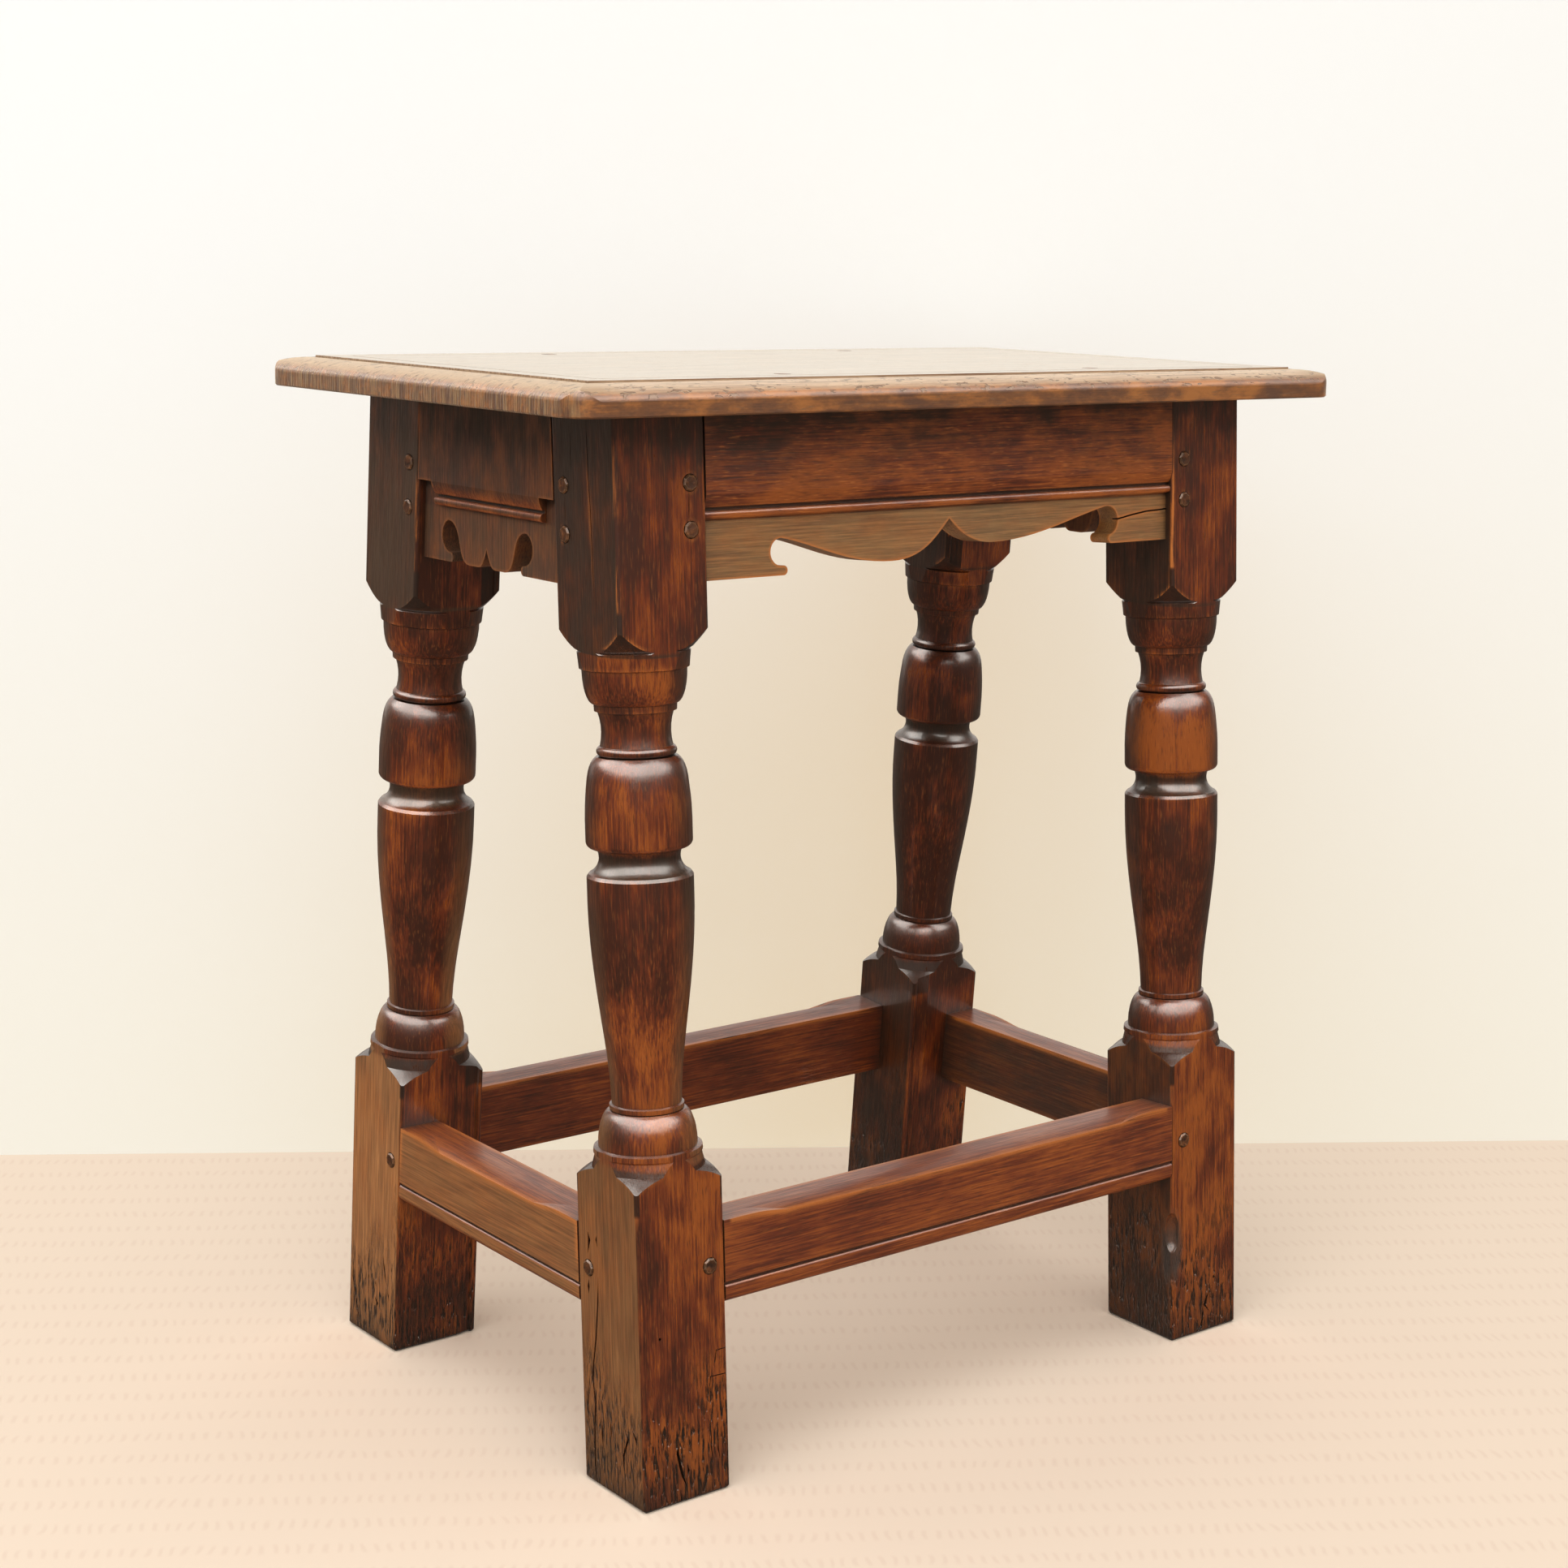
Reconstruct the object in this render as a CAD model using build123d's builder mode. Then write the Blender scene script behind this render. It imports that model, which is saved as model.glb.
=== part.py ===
from build123d import *
from math import cos, radians, sin, tan
import os

# A 17th-century English joint stool in oak: a moulded seat board pegged to a frame of four turned
# legs, which are joined by four shaped aprons and four low stretchers. Every joint of the frame is a
# mortise and tenon held by wooden pegs. The long sides lean outwards towards the floor, the short
# sides stand upright. The origin is on the floor, under the middle of the seat; X runs along the
# seat, Y across it and Z up. All sizes are in millimetres.

# ---- Driving dimensions ----------------------------------------------------------------------

overall_height = 556
seat_length = 511
seat_depth = 296
seat_thickness = 16
seat_corner_radius = 14

frame_length = 425  # over the outer faces of the legs
frame_depth = 228  # the same, just under the seat
lean = radians(3.75)  # how far the legs of the long sides lean outwards

leg_size = 53  # side of the square the legs are turned from
leg_inner_chamfer = 10
leg_arris_radius = 2
foot_bevel = 1.5
foot_block = 158  # floor to the tips of the lower block's corners, along the leg
top_block = 101  # the seat's underside to the tips of the upper block's corners

apron_thickness = 19
apron_field_recess = 5  # the shaped lower part lies this far behind the fascia
long_fascia_height = 40
short_fascia_height = 45
ovolo_height = 6.4
ovolo_depth = 2.6
moulding_quirk = 1.5  # the narrow groove between the ovolo and the bead
bead_height = 4.3
bead_undercut = 0.5
moulding_stop = 10  # the short aprons' moulding ends this far from the legs
moulding_stop_slope = 2.5  # how far its ends slope back towards the middle

# The long aprons' shaped edge was sawn by eye, so its two halves differ. Heights are measured down
# from the seat's underside, and the hook and its hole are placed from the shoulder.
long_apron_height = {"left": 82, "right": 78}
long_hook_inset = {"left": 52.5, "right": 44.5}  # to the hook's tip
long_hook_thickness = {"left": 4.9, "right": 5.3}
long_hole_inset = {"left": 42, "right": 37.4}  # to the outer side of the round hole
long_hole_width = {"left": 6.8, "right": 10}  # from there to the middle of the hole's top
long_hole_height = {"left": 13.7, "right": 14.8}
long_lobe_x = {"left": 39, "right": 30}  # from the middle
long_lobe_drop = {"left": 78.9, "right": 72.8}
long_ogee_sag = 2.4
long_cusp_drop = 59
# A shake opened along the grain from the front apron's right hole to the leg.
shake_drops = (65.2, 63.3, 61.8, 61.4, 60.4)  # from the hole to the shoulder
shake_width = 0.9
shake_depth = 4

# The short aprons' edge has two lobes between its holes. Widths are shares of the half span.
short_apron_height = 86
short_hook_thickness = 5
short_hole_height = 16.5
short_hook_share = 0.53
short_hole_outer_share = 0.705
short_hole_top_share = 0.61
short_lobe_side_share = 0.43
short_lobe_foot_shares = (0.27, 0.14)
short_cusp_rise = 10
short_pattern_shift = -5  # the pattern sits a little nearer the back

long_stretcher_bottom = 97  # above the floor
short_stretcher_bottom = 92
stretcher_height = 43
stretcher_thickness = 24
quirk_height = 9.5  # the scratched line above the stretcher's lower bead
quirk_size = 1.6
stretcher_bead_radius = 4
foot_wear_depth = 2.6  # the outer top edge is worn hollow by feet
foot_wear_width = 12
foot_wear_crown = 0.6  # how far the worn slope bulges
foot_wear_margin = 16  # length left unworn beside each leg
foot_wear_runout = 26

tenon_thickness = 9
tenon_setback = 8  # from the outer face of the rail
tenon_wall = 4  # wood left in a leg between the tenons of its two rails
tenon_length = leg_size - tenon_setback - tenon_thickness - tenon_wall
tenon_root = 8  # where a tenon starts, inside its own rail
apron_tenon_top = 14  # down from the seat's underside
apron_tenon_height = 60
stretcher_tenon_shoulder = 5
mortise_fit = 0.15
mortise_end_gap = 0.8

peg_radius = 4.2
peg_hole_radius = 4.35
peg_proud = 1
peg_head_chamfer = 0.7
peg_inset = 9.5  # from the edge of the joint
peg_wall = 5.15  # wood left between a peg's tip and the pegs of the other rail
peg_length = leg_size - peg_inset - peg_hole_radius - peg_wall
long_apron_peg_drops = {"upper": 34, "lower": 56.5}  # down from the seat's underside
short_apron_peg_drops = {"upper": 37, "lower": 60.5}
seat_peg_spacing = 210
seat_peg_length = 42

seat_edge_height = 7.5  # upright part of the seat's edge
seat_roll_width = 18  # where the rounded edge meets the incised line
seat_roll_radius = 8
seat_field_step = 1  # the flat of the seat stands this much above the rounded edge
incised_line_width = 1.4
incised_line_depth = 1
inner_line_inset = 33
inner_line_width = 0.9
inner_line_depth = 0.6
seat_arris_chamfer = 0.8

# Shakes, the splits along the grain, in three of the legs. Each has its greatest width and a line of
# points: how far in from a corner of the leg, and how high above the floor.
leg_shake_depth = 3
shake_reach = 1  # the gaps are cut from a little outside the face
front_left_leg_front_shakes = (
    (0.6, ((42.8, 502.6), (42.6, 496), (42.4, 489.2))),
    (1.6, ((21.2, 31.9), (20.8, 26.6), (22, 20.3), (23.7, 13.8), (25.7, 7.9))),
    (1.2, ((26.9, 19), (27.2, 16), (26.6, 13))),
    (0.9, ((42, 34.1), (41.4, 25.8), (42.3, 17.1))),
    (0.9, ((46.1, 28.2), (45.7, 22.8), (46.8, 17.1))),
    (0.9, ((22, 5.5), (22.4, 1), (22.2, -3))),
)
front_left_leg_end_shakes = (
    (0.5, ((22.6, 541), (22.5, 523), (22.2, 509), (21.2, 495), (20.9, 481), (20.5, 465), (19.7, 446))),
    (0.5, ((36.3, 529), (36.7, 518), (36.5, 508.5))),
    (0.6, ((42.8, 498), (43, 491), (42.8, 484.5))),
    (2.2, ((43.5, 132.5), (42.4, 128.5), (44, 120.6))),
    (1.8, ((43.9, 107.5), (44.3, 103.5), (44.1, 99.6))),
    (1.2, ((35.6, 132.9), (36.2, 130), (35.4, 126.3))),
    (
        1.1,
        ((35.4, 112), (36.3, 98), (38.7, 80), (41.9, 64), (43, 55), (41.2, 44), (42.6, 31), (43.2, 12), (42.4, -3)),
    ),
    (0.8, ((46, 56.8), (48, 41.6), (48.2, 27))),
    (1.2, ((35.5, 36.6), (36.1, 28.8), (35.3, 20.2))),
    (1.0, ((28.9, 40.6), (28, 34.8), (27.6, 28.7))),
    (1.4, ((15.4, 38.8), (13, 34.6), (17.5, 24.2), (17.6, 15.3))),
    (2.0, ((9.4, 40.7), (6.5, 37.6), (5, 33))),
)
front_right_leg_front_shakes = (
    (1.6, ((31.4, 25), (28.2, 19.4), (27, 16.2), (31.7, 10.8))),
    (1.4, ((25.2, 14.5), (25.5, 8.5), (23.5, 3.2), (15, -2))),
)
back_left_leg_end_shakes = (
    (1.2, ((37.6, 54.8), (39, 47.9), (40.5, 42.4), (42.6, 36.7))),
    (1.0, ((30.3, 36.8), (30.1, 34.8), (30.9, 32.6))),
    (1.0, ((22.3, 38.2), (22.1, 36.5), (22.3, 34.8))),
    (1.1, ((4.6, 42.6), (4.2, 30.5), (7.3, 21.9), (12.4, 6.6), (18.6, -2))),
    (2.2, ((29.4, 26.5), (32.4, 23.5), (31.7, 20.3))),
    (0.8, ((47.3, 50.2), (47.6, 48), (48.4, 45.7))),
    (1.0, ((42.5, 35.5), (44.4, 31.9), (45.5, 28.2))),
)
# A small repair is let into the front left foot; its joint shows as two fine elbows.
repair_joint_lines = (
    ((54, 74.5), (46, 74.3), (45, 68)),
    ((52, 61), (42.1, 61.4), (41.6, 56.5)),
)
repair_joint_width = 0.5
repair_joint_depth = 1
worm_hole_radius = 0.8
front_left_worm_hole = (11.9, 88)
front_right_worm_hole = (34.6, 31.6)
# The front right leg's inner front corner is broken out below the stretcher.
corner_chip_height = 65
corner_chip_length = 24
corner_chip_reach = 5.5

# ---- Shared places ---------------------------------------------------------------------------

seat_underside = overall_height - seat_thickness
long_half_span = frame_length / 2 - leg_size  # middle to shoulder of the long rails
short_half_span = frame_depth / 2 - leg_size / cos(lean)  # the same, just under the seat

# Outer face of the front, seen from outside: X to the right, Y up the lean, Z outwards.
front = Plane(
    origin=(0, -frame_depth / 2, seat_underside),
    x_dir=(1, 0, 0),
    z_dir=(0, -cos(lean), sin(lean)),
)
# Outer face of the left end, seen from outside, where the front is to the right.
left = Plane(origin=(-frame_length / 2, 0, seat_underside), x_dir=(0, -1, 0), z_dir=(-1, 0, 0))
# The rails' sections, seen from their left end: X outwards, Y up the outer face.
front_section = Plane(origin=front.origin, x_dir=front.z_dir, z_dir=-front.x_dir)
left_section = Plane(origin=left.origin, x_dir=left.z_dir, z_dir=-left.x_dir)

# The axis of the front left leg starts in the middle of its foot.
foot_centre = (
    -(frame_length - leg_size) / 2,
    front.origin.Y - seat_underside * tan(lean) + leg_size / 2 / cos(lean),
    0,
)
leg_axis = Axis(foot_centre, (0, sin(lean), cos(lean)))
leg_rise = seat_underside / cos(lean)

long_stretcher_middle = (long_stretcher_bottom - seat_underside) / cos(lean) + stretcher_height / 2
short_stretcher_middle = short_stretcher_bottom - seat_underside + stretcher_height / 2
apron_tenon_middle = -apron_tenon_top - apron_tenon_height / 2
stretcher_tenon_height = stretcher_height - 2 * stretcher_tenon_shoulder


def short_half_span_at(drop):
    """Middle to shoulder of the short rails, this far below the seat's underside."""
    return short_half_span + drop * tan(lean)


# Each joint's tenon: the rail's outer face, how far its tip reaches, its middle and its height.
joints = {
    "long_apron": (front, long_half_span + tenon_length, apron_tenon_middle, apron_tenon_height),
    "long_stretcher": (
        front,
        long_half_span + tenon_length,
        long_stretcher_middle,
        stretcher_tenon_height,
    ),
    "short_apron": (
        left,
        short_half_span_at(-apron_tenon_middle) + tenon_length,
        apron_tenon_middle,
        apron_tenon_height,
    ),
    "short_stretcher": (
        left,
        short_half_span_at(-short_stretcher_middle) + tenon_length,
        short_stretcher_middle,
        stretcher_tenon_height,
    ),
}


def tenon_outline(joint, fit=0, end_gap=0):
    """Faces of the tenons at both ends of a rail, grown by the fit for the mortises."""
    rail_face, reach, middle, height = joints[joint]
    length = tenon_root + tenon_length + end_gap
    with BuildSketch(rail_face.offset(fit - tenon_setback)) as outline:
        with Locations(
            (reach + end_gap - length / 2, middle), (length / 2 - reach - end_gap, middle)
        ):
            Rectangle(length, height + 2 * fit)
    return outline.sketch


# Where the pegs of the front left leg enter, on the outer face of their rail: those of the long
# rails on the front, left of the joint, and those of the short rails on the end, right of it.
peg_places = {}
for level, drop in long_apron_peg_drops.items():
    peg_places["long_apron_" + level] = (front, -long_half_span - peg_inset, -drop)
for level, drop in short_apron_peg_drops.items():
    peg_places["short_apron_" + level] = (left, short_half_span_at(drop) + peg_inset, -drop)
peg_places["long_stretcher"] = (front, -long_half_span - peg_inset, long_stretcher_middle)
peg_places["short_stretcher"] = (
    left,
    short_half_span_at(-short_stretcher_middle) + peg_inset,
    short_stretcher_middle,
)


def peg_hole(place, x_side=1):
    """Round face of one peg's hole, or of the hole at the other end of the same rail."""
    rail_face, x, y = peg_places[place]
    with BuildSketch(rail_face) as hole:
        with Locations((x_side * x, y)):
            Circle(peg_hole_radius)
    return hole.sketch




def on_front(corner_x, inset, height):
    """A place on the front's outer face, from a leg's left corner and the floor."""
    return corner_x + inset, height - leg_rise


def on_end(side, inset, height):
    """A place on the end's outer face, from the front (1) or rear (-1) leg's outer corner."""
    drop = seat_underside - height
    return side * (frame_depth / 2 + drop * tan(lean) - inset), -drop


def shake(rail_face, width, line):
    """The gap of a split in an outer face, pointed at both ends."""
    between = line[1:-1]
    with BuildPart() as gap:
        with BuildSketch(rail_face.offset(shake_reach)):
            Polygon(
                line[0],
                *[(x + width / 2, y) for x, y in between],
                line[-1],
                *[(x - width / 2, y) for x, y in reversed(between)],
                align=None,
            )
        extrude(amount=-leg_shake_depth - shake_reach)
    return gap.part


def worm_hole(place):
    with BuildPart() as hole:
        with BuildSketch(front.offset(shake_reach)):
            with Locations(place):
                Circle(worm_hole_radius)
        extrude(amount=-leg_shake_depth - shake_reach)
    return hole.part


def repair_joint(corner_x, line):
    """The fine gap along one side of the repair."""
    with BuildPart() as gap:
        with BuildSketch(front.offset(shake_reach)):
            with BuildLine():
                elbow = Polyline(*[on_front(corner_x, *point) for point in line])
            trace(elbow, line_width=repair_joint_width)
        extrude(amount=-repair_joint_depth - shake_reach)
    return gap.part


seat_peg_places = [
    (x * seat_peg_spacing / 2, y * (frame_depth - apron_thickness) / 2) for x in (-1, 1) for y in (-1, 1)
]

# ---- Legs ------------------------------------------------------------------------------------

# Heights of the turned members are measured from the tips of the blocks' corners, and radii from
# half the side of the square, so that a member above that size shows the square's flats.
face = leg_size / 2
waste = 0.8 * leg_size  # clear of the square's corners
foot_tip = foot_block
top_tip = leg_rise - top_block

with BuildPart() as front_left_leg:
    # the square stock, with its inner corner riven away
    leg_section = Plane(origin=foot_centre, x_dir=(1, 0, 0), z_dir=leg_axis.direction)
    with BuildSketch(leg_section.offset(-leg_size)) as stock:
        Rectangle(leg_size, leg_size)
        inner_corner = max(stock.vertices(), key=lambda corner: corner.X + corner.Y)
        outer_corners = [corner for corner in stock.vertices() if corner is not inner_corner]
        fillet(outer_corners, radius=leg_arris_radius)
        inner_corner = max(stock.vertices(), key=lambda corner: corner.X + corner.Y)
        chamfer(inner_corner, length=leg_inner_chamfer)
    extrude(amount=leg_rise + 2 * leg_size)

    # everything the lathe leaves: the profile from the foot block up to the top block
    with BuildSketch(Plane(origin=foot_centre, x_dir=(1, 0, 0), z_dir=front.z_dir)):
        with BuildLine():
            # lower block: hollow corners, a sunk band and a ring
            Polyline((0, -leg_size), (waste, -leg_size), (waste, foot_tip - 3.5))
            SagittaArc((waste, foot_tip - 3.5), (face + 2.8, foot_tip + 9), -1.2)
            Polyline(
                (face + 2.8, foot_tip + 9),
                (face + 1.8, foot_tip + 9.6),
                (face + 0.2, foot_tip + 16),
                (face + 0.9, foot_tip + 17),
                (face + 0.7, foot_tip + 19.4),
                (face - 1.6, foot_tip + 20),
            )
            # bell-shaped ovolo under the waist, with a thin lip on top
            EllipticalCenterArc(
                (face - 8.3, foot_tip + 20), 6.7, 18.4, start_angle=0, arc_size=90
            )
            Polyline(
                (face - 8.3, foot_tip + 38.4),
                (face - 7.8, foot_tip + 38.8),
                (face - 7.8, foot_tip + 41),
                (face - 9, foot_tip + 41.5),
            )
            # tapered shaft, fullest just under its shoulder
            Spline(
                (face - 9, foot_tip + 41.5),
                (face - 5.2, foot_tip + 0.53 * (top_tip - foot_tip - 126)),
                (face - 0.1, top_tip - 137),
                tangents=[(0.02, 1), (0, 1)],
            )
            # shoulder, cove and the rounded foot of the cup
            Polyline(
                (face - 0.1, top_tip - 137),
                (face - 0.1, top_tip - 126.2),
                (face - 1.2, top_tip - 124.6),
            )
            ThreePointArc(
                (face - 1.2, top_tip - 124.6),
                (face - 6.2, top_tip - 118.4),
                (face - 5.3, top_tip - 112.6),
            )
            Line((face - 5.3, top_tip - 112.6), (face - 2.9, top_tip - 112))
            RadiusArc((face - 2.9, top_tip - 112), (face - 0.1, top_tip - 108.6), -3.4)
            # the cup, closing in to a bead and the hollow neck
            Line((face - 0.1, top_tip - 108.6), (face - 0.1, top_tip - 98))
            Spline(
                (face - 0.1, top_tip - 98),
                (face - 1.1, top_tip - 82),
                (face - 6.5, top_tip - 66.9),
                tangents=[(0, 1), (-1, 0.75)],
            )
            Line((face - 6.5, top_tip - 66.9), (face - 8.5, top_tip - 66.7))
            ThreePointArc(
                (face - 8.5, top_tip - 66.7),
                (face - 6.7, top_tip - 64.2),
                (face - 8.5, top_tip - 61.8),
            )
            ThreePointArc(
                (face - 8.5, top_tip - 61.8),
                (face - 9.4, top_tip - 55),
                (face - 7.7, top_tip - 44.8),
            )
            # ovolo on its fillet, below the ring of the top block
            Polyline(
                (face - 7.7, top_tip - 44.8),
                (face - 6.2, top_tip - 44.4),
                (face - 6, top_tip - 41),
            )
            EllipticalCenterArc(
                (face - 6, top_tip - 24), 5.3, 17, start_angle=-90, arc_size=90
            )
            Polyline(
                (face - 0.7, top_tip - 24),
                (face + 0.5, top_tip - 23.4),
                (face + 1.3, top_tip - 15.4),
                (face + 0.7, top_tip - 14.6),
                (face + 2.4, top_tip - 13.6),
            )
            # hollow corners of the top block
            SagittaArc((face + 2.4, top_tip - 13.6), (waste, top_tip + 4.6), -0.9)
            Polyline(
                (waste, top_tip + 4.6),
                (waste, leg_rise + leg_size),
                (0, leg_rise + leg_size),
                (0, -leg_size),
            )
        make_face()
    revolve(axis=leg_axis, mode=Mode.INTERSECT)

    # sawn level at the floor and under the seat
    split(bisect_by=Plane.XY.offset(seat_underside), keep=Keep.BOTTOM)
    split(bisect_by=Plane.XY, keep=Keep.TOP)
    chamfer(faces().sort_by(Axis.Z)[0].edges(), length=foot_bevel)

    # mortises and peg holes
    for joint in joints:
        extrude(
            tenon_outline(joint, mortise_fit, mortise_end_gap),
            amount=-tenon_thickness - 2 * mortise_fit,
            mode=Mode.SUBTRACT,
        )
    for place in peg_places:
        extrude(peg_hole(place), amount=-peg_length - mortise_end_gap, mode=Mode.SUBTRACT)

    # the marks of age that this leg alone has
    whole_leg = front_left_leg.part
    leg_corner = -frame_length / 2
    marks = [worm_hole(on_front(leg_corner, *front_left_worm_hole))]
    for width, line in front_left_leg_front_shakes:
        marks.append(shake(front, width, [on_front(leg_corner, *point) for point in line]))
    for width, line in front_left_leg_end_shakes:
        marks.append(shake(left, width, [on_end(1, *point) for point in line]))
    for line in repair_joint_lines:
        marks.append(repair_joint(leg_corner, line))
    add(marks, mode=Mode.SUBTRACT)

# ---- Aprons ----------------------------------------------------------------------------------


def apron_section(plane, fascia_height, height):
    """Section of an apron: fascia, ovolo, bead and the recessed field below them."""
    ovolo_foot = -fascia_height - ovolo_height
    bead_top = ovolo_foot - moulding_quirk
    bead_foot = bead_top - bead_height
    quirk_floor = 0.8 - apron_field_recess
    with BuildSketch(plane) as section:
        with BuildLine():
            Polyline(
                (quirk_floor, bead_top),
                (quirk_floor, ovolo_foot),
                (-ovolo_depth, ovolo_foot),
            )
            ThreePointArc(
                (-ovolo_depth, ovolo_foot),
                (-0.28 * ovolo_depth, ovolo_foot + 0.55 * ovolo_height),
                (0, -fascia_height),
            )
            Polyline(
                (0, -fascia_height),
                (0, leg_size),
                (-apron_thickness, leg_size),
                (-apron_thickness, -height - leg_size),
                (-apron_field_recess, -height - leg_size),
                (-apron_field_recess, bead_foot - bead_undercut),
                (quirk_floor, bead_foot),
            )
            ThreePointArc(
                (quirk_floor, bead_foot),
                (-0.55 * ovolo_depth, (bead_top + bead_foot) / 2),
                (quirk_floor, bead_top),
            )
        make_face()
    return section.sketch


def hooked_hole(side, shoulder, foot, tip, thickness, hole_side, hole_top):
    """One lower corner of an apron: its flat foot, the rounded hook and the round hole above it."""
    nose = thickness / 2
    Line((side * shoulder, foot), (side * (tip + nose), foot))
    ThreePointArc(
        (side * (tip + nose), foot),
        (side * tip, foot + nose),
        (side * (tip + nose), foot + thickness),
    )
    ThreePointArc(
        (side * (tip + nose), foot + thickness),
        (side * hole_side[0], hole_side[1]),
        (side * hole_top[0], hole_top[1]),
    )


with BuildPart() as front_apron:
    extrude(
        apron_section(front_section, long_fascia_height, max(long_apron_height.values())),
        amount=long_half_span,
        both=True,
    )
    with BuildSketch(front):
        with BuildLine():
            for half, side in (("left", -1), ("right", 1)):
                foot = -long_apron_height[half]
                hole_side_x = long_half_span - long_hole_inset[half]
                hole_top_x = hole_side_x - long_hole_width[half]
                hole_top_y = foot + long_hook_thickness[half] + long_hole_height[half]
                lobe_x, lobe_y = long_lobe_x[half], -long_lobe_drop[half]
                Polyline((0, leg_size), (side * long_half_span, leg_size), (side * long_half_span, foot))
                hooked_hole(
                    side,
                    long_half_span,
                    foot,
                    long_half_span - long_hook_inset[half],
                    long_hook_thickness[half],
                    (hole_side_x, hole_top_y - long_hole_height[half] / 2),
                    (hole_top_x, hole_top_y),
                )
                # a slow ogee falls to the lobe, which turns up to the middle cusp
                Spline(
                    (side * hole_top_x, hole_top_y),
                    (side * (hole_top_x + lobe_x) / 2, (hole_top_y + lobe_y) / 2 - long_ogee_sag),
                    (side * lobe_x, lobe_y),
                    tangents=[(-side, -0.2), (-side, 0)],
                )
                Spline(
                    (side * lobe_x, lobe_y),
                    (side * 0.35 * lobe_x, lobe_y + 0.38 * (-long_cusp_drop - lobe_y)),
                    (0, -long_cusp_drop),
                    tangents=[(-side, 0), (-side, 1)],
                )
        make_face()
    extrude(amount=2 * apron_thickness, both=True, mode=Mode.INTERSECT)
    extrude(tenon_outline("long_apron"), amount=-tenon_thickness)
    split(bisect_by=Plane.XY.offset(seat_underside), keep=Keep.BOTTOM)
    for level in long_apron_peg_drops:
        for side in (-1, 1):
            extrude(
                peg_hole("long_apron_" + level, side),
                amount=-apron_thickness,
                mode=Mode.SUBTRACT,
            )
    with BuildSketch(Plane.XY.offset(seat_underside)):
        with Locations(*seat_peg_places):
            Circle(peg_hole_radius)
    extrude(amount=seat_thickness - seat_peg_length - mortise_end_gap, mode=Mode.SUBTRACT)
    # the shake, which is the front apron's own
    whole_apron = front_apron.part
    shake_start = long_half_span - long_hole_inset["right"] - shake_width
    shake_step = (long_half_span + tenon_root - shake_start) / (len(shake_drops) - 1)
    with BuildSketch(front.offset(-apron_field_recess)):
        with BuildLine():
            shake_line = Polyline(
                *[(shake_start + step * shake_step, -drop) for step, drop in enumerate(shake_drops)]
            )
        trace(shake_line, line_width=shake_width)
    extrude(amount=-shake_depth, mode=Mode.SUBTRACT)

with BuildPart() as left_apron:
    extrude(
        apron_section(left_section, short_fascia_height, short_apron_height),
        amount=short_half_span + leg_size / 2,
        both=True,
    )
    foot = -short_apron_height
    shoulder_foot = short_half_span_at(short_apron_height)
    with BuildSketch(left):
        Polygon(
            (-short_half_span, 0),
            (short_half_span, 0),
            (shoulder_foot, foot),
            (-shoulder_foot, foot),
            align=None,
        )
    extrude(amount=2 * apron_thickness, both=True, mode=Mode.INTERSECT)
    # the shaped edge, with two lobes between the holes, drawn wider than the board
    short_pattern = left.shift_origin(left.from_local_coords((short_pattern_shift, 0, 0)))
    hole_top_x = short_hole_top_share * short_half_span
    hole_top_y = foot + short_hook_thickness + short_hole_height
    lobe_side_x = short_lobe_side_share * short_half_span
    lobe_foot_x, cusp_foot_x = [share * short_half_span for share in short_lobe_foot_shares]
    with BuildSketch(short_pattern):
        with BuildLine():
            for side in (-1, 1):
                Polyline((0, 0), (side * seat_depth, 0), (side * seat_depth, foot))
                hooked_hole(
                    side,
                    seat_depth,
                    foot,
                    short_hook_share * short_half_span,
                    short_hook_thickness,
                    (short_hole_outer_share * short_half_span, hole_top_y - short_hole_height / 2),
                    (hole_top_x, hole_top_y),
                )
                Spline(
                    (side * hole_top_x, hole_top_y),
                    (side * lobe_side_x, (hole_top_y + foot) / 2),
                    (side * lobe_foot_x, foot),
                    tangents=[(-side, 0), (-side, 0)],
                )
                Line((side * lobe_foot_x, foot), (side * cusp_foot_x, foot))
                Spline(
                    (side * cusp_foot_x, foot),
                    (side * cusp_foot_x / 4, foot + short_cusp_rise / 2),
                    (0, foot + short_cusp_rise),
                    tangents=[(-side, 0), (-side, 5)],
                )
        make_face()
    extrude(amount=2 * apron_thickness, both=True, mode=Mode.INTERSECT)
    # the moulding stops short of the legs, with sloping ends
    stop_top = short_half_span - moulding_stop
    stop_foot = stop_top - moulding_stop_slope
    with BuildSketch(left):
        for side in (-1, 1):
            with BuildLine():
                Polyline(
                    (side * stop_top, -short_fascia_height),
                    (side * shoulder_foot, -short_fascia_height),
                    (side * shoulder_foot, foot),
                    (side * stop_foot, foot),
                    close=True,
                )
            make_face()
    extrude(amount=-apron_field_recess, mode=Mode.SUBTRACT)
    extrude(tenon_outline("short_apron"), amount=-tenon_thickness)
    for level in short_apron_peg_drops:
        for side in (-1, 1):
            extrude(
                peg_hole("short_apron_" + level, side),
                amount=-apron_thickness,
                mode=Mode.SUBTRACT,
            )

# ---- Stretchers ------------------------------------------------------------------------------


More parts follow.
